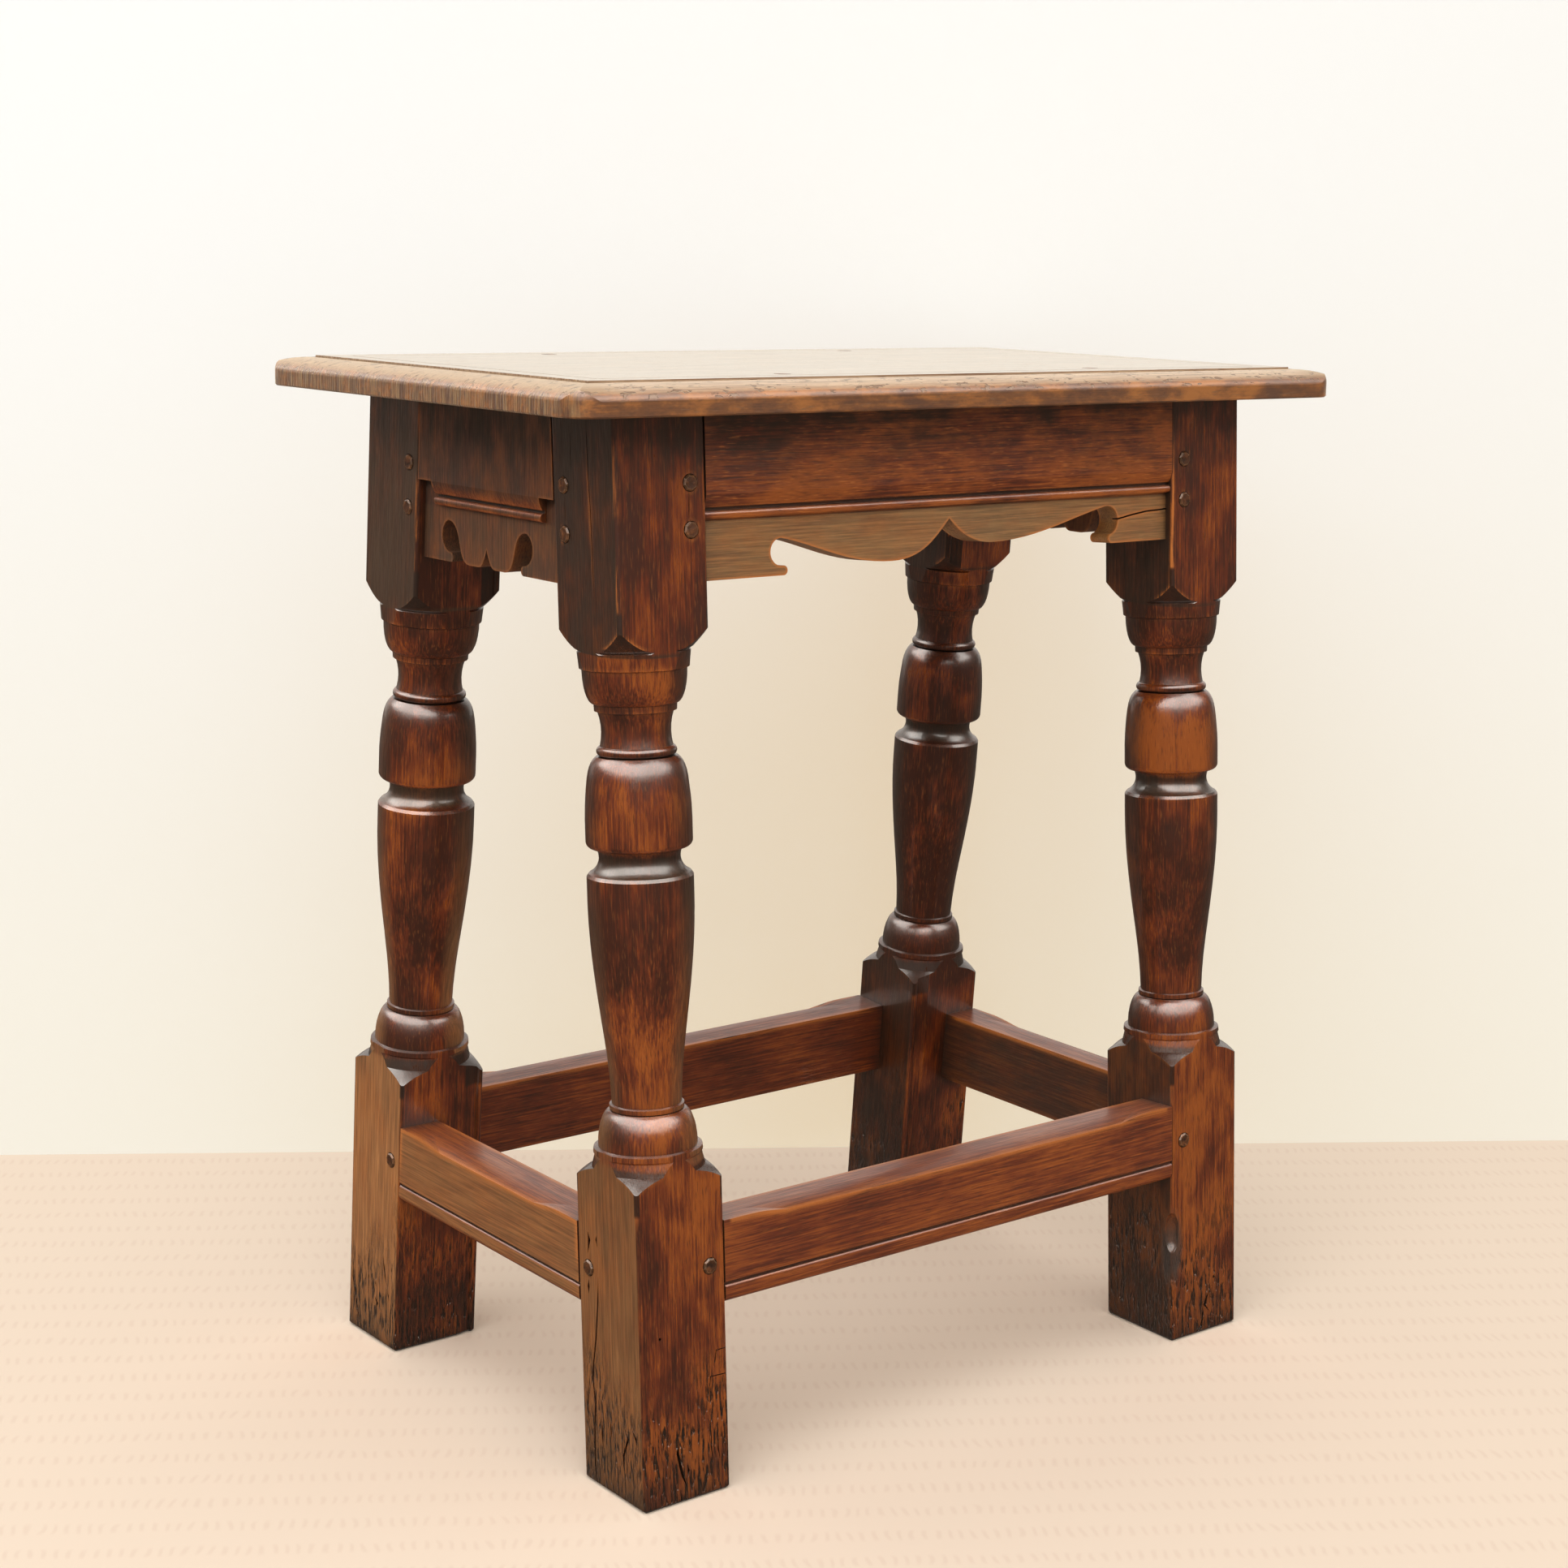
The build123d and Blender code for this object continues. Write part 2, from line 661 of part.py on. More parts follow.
def stretcher_section(plane, middle):
    """Section of a stretcher: the face with its worn top, the quirk and the bead below it."""
    top = middle + stretcher_height / 2
    bottom = middle - stretcher_height / 2
    quirk = bottom + quirk_height
    with BuildSketch(plane) as section:
        with BuildLine():
            Polyline(
                (-stretcher_bead_radius, bottom),
                (-stretcher_thickness, bottom),
                (-stretcher_thickness, top),
                (0, top),
                (0, quirk + quirk_size),
                (-quirk_size, quirk + quirk_size / 2),
                (-quirk_size, quirk),
            )
            TangentArc((-quirk_size, quirk), (0, quirk - quirk_size), tangent=(1, 0))
            Line((0, quirk - quirk_size), (0, bottom + stretcher_bead_radius))
            ThreePointArc(
                (0, bottom + stretcher_bead_radius),
                (-0.3 * stretcher_bead_radius, bottom + 0.3 * stretcher_bead_radius),
                (-stretcher_bead_radius, bottom),
            )
        make_face()
    return section.sketch


def foot_wear(rail_face, section_plane, half_span, top):
    """The wood that feet have worn from a stretcher's outer top edge, running out at both ends."""
    worn_end = half_span - foot_wear_margin
    with BuildPart() as wear:
        with BuildSketch(rail_face):
            with BuildLine():
                Polyline(
                    (-worn_end, top),
                    (-worn_end, top + 1),
                    (worn_end, top + 1),
                    (worn_end, top),
                )
                Spline(
                    (worn_end, top),
                    (worn_end - foot_wear_runout, top - foot_wear_depth),
                    (0, top - 1.3 * foot_wear_depth),
                    (-worn_end + foot_wear_runout, top - foot_wear_depth),
                    (-worn_end, top),
                    tangents=[(-1, 0), (-1, 0)],
                )
            make_face()
        extrude(amount=2 * stretcher_thickness, both=True)
        with BuildSketch(section_plane):
            with BuildLine():
                Polyline(
                    (-foot_wear_width, top),
                    (-foot_wear_width, top + 1),
                    (1, top + 1),
                    (1, top - foot_wear_depth),
                    (0, top - foot_wear_depth),
                )
                ThreePointArc(
                    (0, top - foot_wear_depth),
                    (-foot_wear_width / 2, top - foot_wear_depth / 2 + foot_wear_crown),
                    (-foot_wear_width, top),
                )
            make_face()
        extrude(amount=half_span, both=True, mode=Mode.INTERSECT)
    return wear.part


long_foot_wear = foot_wear(
    front, front_section, long_half_span, long_stretcher_middle + stretcher_height / 2
)

with BuildPart() as front_stretcher:
    extrude(
        stretcher_section(front_section, long_stretcher_middle),
        amount=long_half_span,
        both=True,
    )
    add(long_foot_wear, mode=Mode.SUBTRACT)
    extrude(tenon_outline("long_stretcher"), amount=-tenon_thickness)
    for side in (-1, 1):
        extrude(
            peg_hole("long_stretcher", side),
            amount=-stretcher_thickness,
            mode=Mode.SUBTRACT,
        )

stretcher_top = short_stretcher_middle + stretcher_height / 2
stretcher_foot = short_stretcher_middle - stretcher_height / 2
short_foot_wear = foot_wear(
    left, left_section, short_half_span_at(-stretcher_top), stretcher_top
)

with BuildPart() as left_stretcher:
    extrude(
        stretcher_section(left_section, short_stretcher_middle),
        amount=short_half_span_at(seat_underside),
        both=True,
    )
    with BuildSketch(left):
        with BuildLine():
            Polyline(
                (0, stretcher_top),
                (short_half_span_at(-stretcher_top), stretcher_top),
                (short_half_span_at(-stretcher_foot), stretcher_foot),
                (0, stretcher_foot),
            )
            mirror(about=Plane.YZ)
        make_face()
    extrude(amount=2 * stretcher_thickness, both=True, mode=Mode.INTERSECT)
    add(short_foot_wear, mode=Mode.SUBTRACT)
    extrude(tenon_outline("short_stretcher"), amount=-tenon_thickness)
    for side in (-1, 1):
        extrude(
            peg_hole("short_stretcher", side),
            amount=-stretcher_thickness,
            mode=Mode.SUBTRACT,
        )

# ---- Seat ------------------------------------------------------------------------------------


def seat_section(plane, width):
    """Section across the seat: upright edge, rounded rim, and the flat that stands above it."""
    half = width / 2
    rim = half - seat_roll_width
    field = seat_thickness - seat_field_step
    with BuildSketch(plane) as section:
        with BuildLine():
            Polyline((0, 0), (half, 0), (half, seat_edge_height))
            EllipticalCenterArc(
                (rim, seat_edge_height),
                seat_roll_width,
                field - seat_edge_height,
                start_angle=0,
                arc_size=90,
            )
            Polyline(
                (rim, field),
                (rim - incised_line_width, field),
                (rim - incised_line_width, seat_thickness),
                (0, seat_thickness),
            )
            mirror(about=Plane.YZ)
        make_face()
    return section.sketch


def incised_line(inset, width):
    """A line scratched all round the seat, this far in from its edge."""
    with BuildSketch(Plane.XY.offset(overall_height)) as line:
        Rectangle(seat_length - 2 * inset, seat_depth - 2 * inset)
        Rectangle(
            seat_length - 2 * inset - 2 * width,
            seat_depth - 2 * inset - 2 * width,
            mode=Mode.SUBTRACT,
        )
    return line.sketch


with BuildPart() as seat_board:
    with BuildSketch(Plane.XY.offset(seat_underside)):
        RectangleRounded(seat_length, seat_depth, seat_corner_radius)
    extrude(amount=seat_thickness)
    fillet(faces().sort_by(Axis.Z)[-1].edges(), radius=seat_roll_radius)
    chamfer(faces().sort_by(Axis.Z)[0].edges(), length=seat_arris_chamfer)
    # the rounded rim is worked along each edge in turn, so it mitres at the corners
    underside = Plane.XY.offset(seat_underside)
    along = Plane(origin=underside.origin, x_dir=(0, 1, 0), z_dir=(1, 0, 0))
    across = Plane(origin=underside.origin, x_dir=(1, 0, 0), z_dir=(0, -1, 0))
    extrude(seat_section(along, seat_depth), amount=seat_length, both=True, mode=Mode.INTERSECT)
    extrude(seat_section(across, seat_length), amount=seat_depth, both=True, mode=Mode.INTERSECT)
    extrude(
        incised_line(seat_roll_width, incised_line_width),
        amount=-seat_field_step - incised_line_depth,
        mode=Mode.SUBTRACT,
    )
    extrude(
        incised_line(inner_line_inset, inner_line_width),
        amount=-inner_line_depth,
        mode=Mode.SUBTRACT,
    )
    with BuildSketch(underside):
        with Locations(*seat_peg_places):
            Circle(peg_hole_radius)
    extrude(amount=seat_thickness, mode=Mode.SUBTRACT)

# ---- The other side and end ------------------------------------------------------------------

with BuildPart() as front_right_leg:
    whole_right_leg = mirror(whole_leg, about=Plane.YZ)
    leg_corner = frame_length / 2 - leg_size
    marks = [worm_hole(on_front(leg_corner, *front_right_worm_hole))]
    for width, line in front_right_leg_front_shakes:
        marks.append(shake(front, width, [on_front(leg_corner, *point) for point in line]))
    add(marks, mode=Mode.SUBTRACT)
    # the broken corner, half an ellipse turned about the corner's own line
    chip_place = front.shift_origin(
        front.from_local_coords((*on_front(leg_corner, 0, corner_chip_height), 0))
    )
    with BuildSketch(chip_place):
        Ellipse(corner_chip_reach, corner_chip_length / 2)
        Rectangle(
            corner_chip_reach,
            corner_chip_length,
            align=(Align.MAX, Align.CENTER),
            mode=Mode.SUBTRACT,
        )
    revolve(axis=Axis(chip_place.origin, chip_place.y_dir), mode=Mode.SUBTRACT)

with BuildPart() as back_left_leg:
    mirror(whole_leg, about=Plane.XZ)
    marks = []
    for width, line in back_left_leg_end_shakes:
        marks.append(shake(left, width, [on_end(-1, *point) for point in line]))
    add(marks, mode=Mode.SUBTRACT)

with BuildPart() as back_right_leg:
    mirror(whole_right_leg, about=Plane.XZ)

with BuildPart() as back_apron:
    mirror(whole_apron, about=Plane.XZ)

with BuildPart() as right_apron:
    mirror(left_apron.part, about=Plane.YZ)

with BuildPart() as back_stretcher:
    mirror(front_stretcher.part, about=Plane.XZ)

with BuildPart() as right_stretcher:
    mirror(left_stretcher.part, about=Plane.YZ)

pieces = {
    "seat_board": seat_board,
    "front_left_leg": front_left_leg,
    "front_right_leg": front_right_leg,
    "back_left_leg": back_left_leg,
    "back_right_leg": back_right_leg,
    "front_apron": front_apron,
    "back_apron": back_apron,
    "left_apron": left_apron,
    "right_apron": right_apron,
    "front_stretcher": front_stretcher,
    "back_stretcher": back_stretcher,
    "left_stretcher": left_stretcher,
    "right_stretcher": right_stretcher,
}

# ---- Pegs: riven with eight sides, their heads standing a little proud -------------------------

for place, (rail_face, x, y) in peg_places.items():
    with BuildPart() as front_left_peg:
        with BuildSketch(rail_face.offset(peg_proud)):
            with Locations((x, y)):
                RegularPolygon(peg_radius, side_count=8, rotation=12)
        extrude(amount=-peg_length - peg_proud)
        peg_head = faces().sort_by(Axis(rail_face.origin, rail_face.z_dir))[-1]
        chamfer(peg_head.edges(), length=peg_head_chamfer)
    with BuildPart() as front_right_peg:
        mirror(front_left_peg.part, about=Plane.YZ)
    with BuildPart() as back_left_peg:
        mirror(front_left_peg.part, about=Plane.XZ)
    with BuildPart() as back_right_peg:
        mirror(front_right_peg.part, about=Plane.XZ)
    pieces["front_left_" + place + "_peg"] = front_left_peg
    pieces["front_right_" + place + "_peg"] = front_right_peg
    pieces["back_left_" + place + "_peg"] = back_left_peg
    pieces["back_right_" + place + "_peg"] = back_right_peg

for number, place in enumerate(seat_peg_places, start=1):
    with BuildPart() as seat_peg:
        with BuildSketch(Plane.XY.offset(overall_height)):
            with Locations(place):
                RegularPolygon(peg_radius, side_count=8)
        extrude(amount=-seat_peg_length)
    pieces["seat_peg_" + str(number)] = seat_peg

# ---- One STEP file for each piece --------------------------------------------------------------

os.makedirs("parts", exist_ok=True)
for name, piece in pieces.items():
    piece.part.label = name
    export_step(piece.part, "parts/" + name + ".step")
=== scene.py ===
"""Joint stool in old waxed oak: the finishes of its boards, legs and pegs, and the stage it stands on.

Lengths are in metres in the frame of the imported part: X runs along the seat, Y from front to back, Z up.
"""

import math
from types import SimpleNamespace

import bmesh
import bpy
from bpy.props import FloatProperty, FloatVectorProperty, PointerProperty
from bpy.types import Operator, Panel, PropertyGroup
from mathutils import Matrix, Vector


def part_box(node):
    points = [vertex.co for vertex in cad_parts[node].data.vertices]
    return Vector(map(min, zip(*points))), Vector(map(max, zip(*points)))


bl_info = {
    "name": "Joint Stool",
    "version": (1, 0, 0),
    "blender": (4, 5, 0),
    "location": "3D View > Sidebar > Joint Stool",
    "description": "Finishes an oak joint stool and sets its stage",
    "category": "Object",
}

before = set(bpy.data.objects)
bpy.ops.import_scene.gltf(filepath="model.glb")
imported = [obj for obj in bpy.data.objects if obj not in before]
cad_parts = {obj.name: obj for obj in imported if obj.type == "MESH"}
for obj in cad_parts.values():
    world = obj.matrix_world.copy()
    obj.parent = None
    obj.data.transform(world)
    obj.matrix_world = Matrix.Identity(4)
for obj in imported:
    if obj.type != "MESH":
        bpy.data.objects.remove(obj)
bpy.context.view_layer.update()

MM = 0.001


# ---- What the sidebar can change ---------------------------------------------------------------


def linear(code):
    """A colour written as sRGB hex, as linear red, green, blue."""
    parts = [int(code[i : i + 2], 16) / 255 for i in (1, 3, 5)]
    return tuple(c / 12.92 if c <= 0.04045 else ((c + 0.055) / 1.055) ** 2.4 for c in parts)


def colour(name, description, code):
    return FloatVectorProperty(
        name=name, description=description, subtype="COLOR", min=0, max=1, default=linear(code)
    )


def length(name, description, millimetres):
    return FloatProperty(
        name=name,
        description=description,
        default=millimetres * MM,
        min=0.01 * MM,
        unit="LENGTH",
        precision=5,
    )


def share(name, description, default):
    return FloatProperty(
        name=name, description=description, default=default, min=0, max=1, subtype="FACTOR"
    )


def level(name, description, default):
    return FloatProperty(name=name, description=description, default=default, min=0)


class FrameFinish(PropertyGroup):
    # Grime also colours the painted shade in corners, mouldings and the blocks' hollow corners.
    grime_and_shade: colour("Grime", "Wax and dirt packed into corners and mouldings", "#261b14")
    dark: colour("Dark", "Oak under thick old wax", "#3c1b0e")
    body: colour("Body", "Oak under thin wax", "#682d15")
    amber: colour("Amber", "Polished oak where the wax glows", "#96501e")
    worn: colour("Worn", "Oak rubbed bare at the edges", "#c27434")
    # Film also colours the painted shade under the seat and along the turnings' outlines.
    film: colour("Film", "Dry dull wax on the faces nobody rubs", "#32251a")
    dry: colour("Dry", "Bare dry oak of the lower blocks' end faces", "#8f6239")
    field: colour("Field", "Dull wax on the recessed fields of the aprons", "#977449")
    streak_width: length("Streak width", "Width of a streak of grain", 0.9)
    streak_length: length("Streak length", "Length of a streak of grain", 34)
    pore_width: length("Pore width", "Width of a row of pores, drawn wide enough to show", 0.7)
    pore_length: length("Pore length", "Length of a row of pores", 8)
    mottle: length("Mottle", "Width of the cloudy patches in the polish", 10)
    wear_width: length("Wear width", "How far the rubbing reaches from an edge", 2.6)
    gloss: share("Roughness", "Roughness of the waxed face", 0.29)


class SeatFinish(PropertyGroup):
    # Grime also colours a little painted shade in the incised line and the corners.
    grime_and_shade: colour("Grime", "Dirt in the dents, cracks and chips", "#6b4e35")
    dark: colour("Dark", "Darkest figure of the moulded edge", "#4a2a14")
    body: colour("Body", "Oak of the moulded edge", "#6f431d")
    amber: colour("Amber", "Golden figure of the moulded edge", "#985f28")
    worn: colour("Worn", "Scrubbed flat of the top", "#ceb191")
    film: colour("Film", "Bloom on the rolled border", "#8f7058")
    dry: colour("Dry", "End grain at the two ends", "#8f7048")
    gloss: share("Roughness", "Roughness of the border and the edge", 0.52)
    flat_gloss: share("Flat roughness", "Roughness of the scrubbed flat", 0.10)


class PegFinish(PropertyGroup):
    # Grime also colours the painted shade round the head.
    grime_and_shade: colour("Grime", "Dirt round the head", "#130d09")
    dark: colour("Dark", "Darkest end grain", "#2c1a0f")
    body: colour("Body", "End grain of the peg", "#57321a")
    amber: colour("Amber", "Lighter end grain", "#80502c")
    worn: colour("Worn", "Rubbed edge of the head", "#a58560")


class StageSettings(PropertyGroup):
    floor: colour("Floor", "Pinkish beige cloth", "#fdead6")
    floor_stitch: colour("Floor stitch", "Small bowed stitches in rows across the cloth", "#f8e3cf")
    row_spacing: length("Row spacing", "From one row of stitches to the next", 25.5414)
    stitch_spacing: length("Stitch spacing", "From one stitch to the next in its row", 6.0415)
    wall: colour("Wall", "Cool side of the cream wall, where the daylight falls", "#a5c8e6")
    wall_glow: colour("Wall glow", "Warm light that the floor throws on the wall", "#ffd7a2")
    wall_foot: colour("Wall foot", "The same light close to the floor", "#fbcf84")
    glow_level: level("Glow level", "Strength of that warm light", 0.59)
    wall_distance: length("Wall distance", "From the middle of the stool to the wall", 309.4)
    wall_turn: FloatProperty(
        name="Wall turn",
        description="How far the wall is turned from the stool's long side",
        default=math.radians(33.1),
        subtype="ANGLE",
    )
    zenith: colour("Zenith light", "Light from overhead", "#fffcf7")
    horizon: colour("Horizon light", "Light from the sides", "#fff8ef")
    zenith_level: level("Zenith level", "Strength of the light from overhead", 0.78)
    horizon_level: level("Horizon level", "Strength of the light from the sides", 0.90)
    lamp: colour("Lamp", "Light of the soft box", "#ffffff")
    lamp_level: level("Lamp level", "What the soft box adds to the brightness of a white sheet", 0.41)
    lamp_width: length("Lamp width", "Side of the soft box", 1600)
    window_level: level("Window level", "Brightness of the window that the polish reflects", 10.0)
    room_level: level("Room level", "Brightness of the dim room that the polish reflects", 0.12)


# ---- Nodes -------------------------------------------------------------------------------------


def add(tree, kind, feeds=None, out=0, **settings):
    """Adds one node, sets and links it, and returns one of its outputs, or the node if it has none."""
    node = tree.nodes.new("ShaderNode" + kind)
    for name, value in settings.items():
        setattr(node, name, value)
    for socket, value in (feeds or {}).items():
        if isinstance(value, bpy.types.NodeSocket):
            tree.links.new(value, node.inputs[socket])
        else:
            node.inputs[socket].default_value = value
    return node.outputs[out] if len(node.outputs) else node


# A Mix node set to these mixes colours. Its factor is input 0, its colours are inputs 6 and 7.
COLOURS = {"out": 2, "data_type": "RGBA"}
EASED = {"interpolation_type": "SMOOTHSTEP"}


def between(start, end):
    """Feeds of a Map Range node that rises from 0 at start to 1 at end, whichever of the two is the higher."""
    return {"From Min": start, "From Max": end}


def rgba(value):
    return (*value, 1.0)


def new_material(name):
    """A material whose node tree is empty."""
    material = bpy.data.materials.new(name)
    material.use_nodes = True
    material.node_tree.nodes.clear()
    return material


def within(tree, height, band, blur=1 * MM):
    """1 inside a band, given as its middle and half its width, and 0 outside it."""
    middle, half = band
    away = add(tree, "Math", {0: height, 1: middle}, operation="SUBTRACT")
    away = add(tree, "Math", {0: away}, operation="ABSOLUTE")
    return add(tree, "MapRange", {"Value": away, **between(half + blur, half - blur)})


def overlap(tree, *masks, but_not=()):
    """The product of the masks, less where any of those in but_not is."""
    masks = list(masks)
    for mask in but_not:
        masks.append(add(tree, "Math", {0: 1.0, 1: mask}, operation="SUBTRACT", use_clamp=True))
    product = masks[0]
    for mask in masks[1:]:
        product = add(tree, "Math", {0: product, 1: mask}, operation="MULTIPLY", use_clamp=True)
    return product


def figure(tree, wood, width, along, detail, roughness=0.6):
    """Figure of the wood whose patches are this wide across the grain and this long along it."""
    stretched = add(tree, "Mapping", {"Vector": wood, "Scale": (1 / width, 1 / width, 1 / along)})
    feeds = {"Vector": stretched, "Scale": 1.0, "Detail": detail, "Roughness": roughness}
    return add(tree, "TexNoise", feeds, out="Fac")


# ---- Waxed oak of the frame --------------------------------------------------------------------

# How a Mapping node turns a pattern whose length is its own Z onto each piece.
LEG_LEAN = math.radians(3.75)
ALONG_X = (0, math.radians(-90), 0)
ALONG_Y = (math.radians(90), 0, 0)
ALONG_FRONT_LEG = (LEG_LEAN, 0, 0)
ALONG_BACK_LEG = (-LEG_LEAN, 0, 0)
UPRIGHT = (0, 0, 0)

# Bands of height on a leg, each as its middle and half its width.
CUP = 0.345, 0.0175
COVE_UNDER_CUP = 0.3205, 0.0055
GROOVE_OVER_RING = 0.4258, 0.0022
TURNED_PART = 0.299, 0.147  # between the square blocks, with their hollow corners
ROUND_PART = 0.2983, 0.1267  # without the hollow corners

# Heights from where a finish begins to where it is complete.
BRIGHTER_BLOCK = 0.175, 0.15
DRY_END_FACES = 0.32, 0.12
# Just under the seat the wood takes the dark film: partly dust, partly painted shade of the seat.
SHADED_UNDER_SEAT = 0.490, 0.545
DIRTY_FOOT = 0.05, 0.0
HANDLED = 0.10, 0.35
SHELTERED = 0.48, 0.53
ROTTED = 0.10, 0.01
ROT_ENDS = 0.13, 0.07

# The turned parts keep their polish in a broad strip that faces toward and away from the camera, and take the dull
# film where they face along this line, the camera's left and right: painted shade along their outlines.
CAMERA_ACROSS = (0.78, -0.625, 0)

# How much the streaks, the patches and the slow shades of the figure each count for the thickness of the wax.
STREAK_SHARE, PATCH_SHARE, SHADE_SHARE = 0.70, 0.34, 0.80
FIGURE_MEAN = 0.5


def oak_figure(tree, finish, grain, seed):
    """Where a point of the wood lies, how it faces, and the figure of the oak there, from fine to coarse."""
    place = add(tree, "TexCoord", out="Object")
    normal = add(tree, "NewGeometry", out="Normal")
    own_stretch = (seed * 0.23, seed * 0.41, seed * 0.37)
    wood = add(tree, "Mapping", {"Vector": place, "Location": own_stretch, "Rotation": grain})
    mottle = finish.mottle
    return SimpleNamespace(
        place=place,
        at=add(tree, "SeparateXYZ", {0: place}).node.outputs,
        normal=normal,
        facing=add(tree, "SeparateXYZ", {0: normal}).node.outputs,
        wood=wood,
        streak=figure(tree, wood, finish.streak_width, finish.streak_length, 2.0),
        pores=figure(tree, wood, finish.pore_width, finish.pore_length, 1.0),
        patch=figure(tree, wood, mottle, 2.5 * mottle, 4.0, 0.65),
        shade=figure(tree, wood, 3.5 * mottle, 5 * mottle, 2.0),
    )


def turned_parts(tree, oak):
    """Masks of a leg's parts: its cup, its coves, its round part, and its blocks' arrises and hollow corners."""
    height = oak.at["Z"]
    cove = within(tree, height, COVE_UNDER_CUP)
    groove = within(tree, height, GROOVE_OVER_RING, 0.5 * MM)
    round_part = within(tree, height, ROUND_PART)
    square = overlap(tree, but_not=[within(tree, height, TURNED_PART)])
    # The blocks have round arrises, where the face looks out cornerwise.
    cornerwise = add(tree, "Math", {0: oak.facing["X"], 1: oak.facing["Y"]}, operation="MULTIPLY")
    cornerwise = add(tree, "Math", {0: cornerwise}, operation="ABSOLUTE")
    arris = add(tree, "MapRange", {"Value": cornerwise, **between(0.12, 0.34)})
    cut_across = add(tree, "MapRange", {"Value": cornerwise, **between(0.01, 0.04)})
    return SimpleNamespace(
        cup=within(tree, height, CUP, 4 * MM),
        coves=add(tree, "Math", {0: cove, 1: groove}, operation="MAXIMUM"),
        round_part=round_part,
        arris=overlap(tree, arris, square),
        hollow=overlap(tree, cut_across, but_not=[square, round_part]),
    )


def wax_thinness(tree, oak, leg, lift, clouds):
    """From thick dark wax at about -0.2 to thin amber wax at about 0.2."""
    mean = FIGURE_MEAN * (STREAK_SHARE + (PATCH_SHARE + SHADE_SHARE) * clouds)
    thin = add(tree, "Math", {0: oak.streak, 1: STREAK_SHARE}, operation="MULTIPLY")
    thin = add(tree, "Math", {0: oak.patch, 1: PATCH_SHARE * clouds, 2: thin}, operation="MULTIPLY_ADD")
    thin = add(tree, "Math", {0: oak.shade, 1: SHADE_SHARE * clouds, 2: thin}, operation="MULTIPLY_ADD")
    thin = add(tree, "Math", {0: thin, 1: lift - mean}, operation="ADD")
    if leg:
        # The cups stand out and are rubbed brighter, the shafts stay dark, and the lower blocks are brighter too.
        thin = add(tree, "Math", {0: leg.cup, 1: 0.13, 2: thin}, operation="MULTIPLY_ADD")
        thin = add(tree, "Math", {0: thin, 1: 0.07}, operation="SUBTRACT")
        block = add(tree, "MapRange", {"Value": oak.at["Z"], **between(*BRIGHTER_BLOCK), "To Max": 0.12})
        thin = add(tree, "Math", {0: thin, 1: block}, operation="ADD")
    return thin


def waxed_face(tree, oak, finish, thin, flecks):
    """Colour of the polished faces."""
    body = add(tree, "MapRange", {"Value": thin, **between(-0.17, 0.03)})
    amber = add(tree, "MapRange", {"Value": thin, **between(0.01, 0.20), "To Max": 0.9})
    tone = add(tree, "Mix", {0: body, 6: rgba(finish.dark), 7: rgba(finish.body)}, **COLOURS)
    tone = add(tree, "Mix", {0: amber, 6: tone, 7: rgba(finish.amber)}, **COLOURS)
    # Short flecks of bare grain, and rows of dark pores.
    bare = add(tree, "MapRange", {"Value": oak.pores, **between(0.60, 0.74), "To Max": flecks})
    tone = add(tree, "Mix", {0: bare, 6: tone, 7: rgba(finish.worn)}, **COLOURS)
    dark_rows = add(tree, "MapRange", {"Value": oak.pores, **between(0.42, 0.28), "To Max": 0.5})
    return add(tree, "Mix", {0: dark_rows, 6: tone, 7: rgba(finish.grime_and_shade)}, **COLOURS)


def dull_faces_and_outline_shade(tree, oak, leg, finish, dry, pale, field_top, field_bloom):
    """Where the dull film lies, and the colour there: the end faces nobody polishes, the painted shade along the
    turnings' outlines, and the fields.

    The end faces are dull above and dry below.
    """
    height = oak.at["Z"]
    low = add(tree, "MapRange", {"Value": height, **between(*DRY_END_FACES), "To Max": dry})
    tone = add(tree, "Mix", {0: low, 6: rgba(finish.film), 7: rgba(finish.dry)}, **COLOURS)
    dull = add(tree, "Math", {0: oak.facing["X"]}, operation="ABSOLUTE")
    dull = add(tree, "MapRange", {"Value": dull, **between(0.86, 0.98), "To Max": 0.88})
    if leg:
        # On the turned parts the film goes where they face the camera's left and right, as painted shade along their
        # outlines, and into the coves.
        outline_shade = add(tree, "VectorMath", {0: oak.normal, 1: CAMERA_ACROSS}, out="Value", operation="DOT_PRODUCT")
        outline_shade = add(tree, "Math", {0: outline_shade}, operation="ABSOLUTE")
        outline_shade = add(tree, "MapRange", {"Value": outline_shade, **between(0.62, 0.92), "To Max": 0.85})
        outline_shade = add(tree, "Math", {0: outline_shade, 1: leg.coves}, operation="MAXIMUM")
        dull = add(tree, "Mix", {0: leg.round_part, 2: dull, 3: outline_shade})
    if field_top:
        field = add(tree, "MapRange", {"Value": height, **between(field_top, field_top - 1 * MM), "To Max": 0.85})
        dull = add(tree, "Math", {0: dull, 1: field}, operation="MAXIMUM")
        if field_bloom < 1:
            field = overlap(tree, field, field_bloom)
        tone = add(tree, "Mix", {0: field, 6: tone, 7: rgba(finish.field)}, **COLOURS)
    cloudy = add(tree, "MapRange", {"Value": oak.patch, **between(0.35, 0.65), "To Min": 1.0, "To Max": 0.7})
    dull = add(tree, "Math", {0: dull, 1: cloudy}, operation="MULTIPLY")
    grainy = {"Value": oak.streak, **between(0.30, 0.70), "To Min": 0.55 * pale, "To Max": 1.25 * pale}
    tone = add(tree, "VectorMath", {0: tone, "Scale": add(tree, "MapRange", grainy)}, operation="SCALE")
    return dull, tone


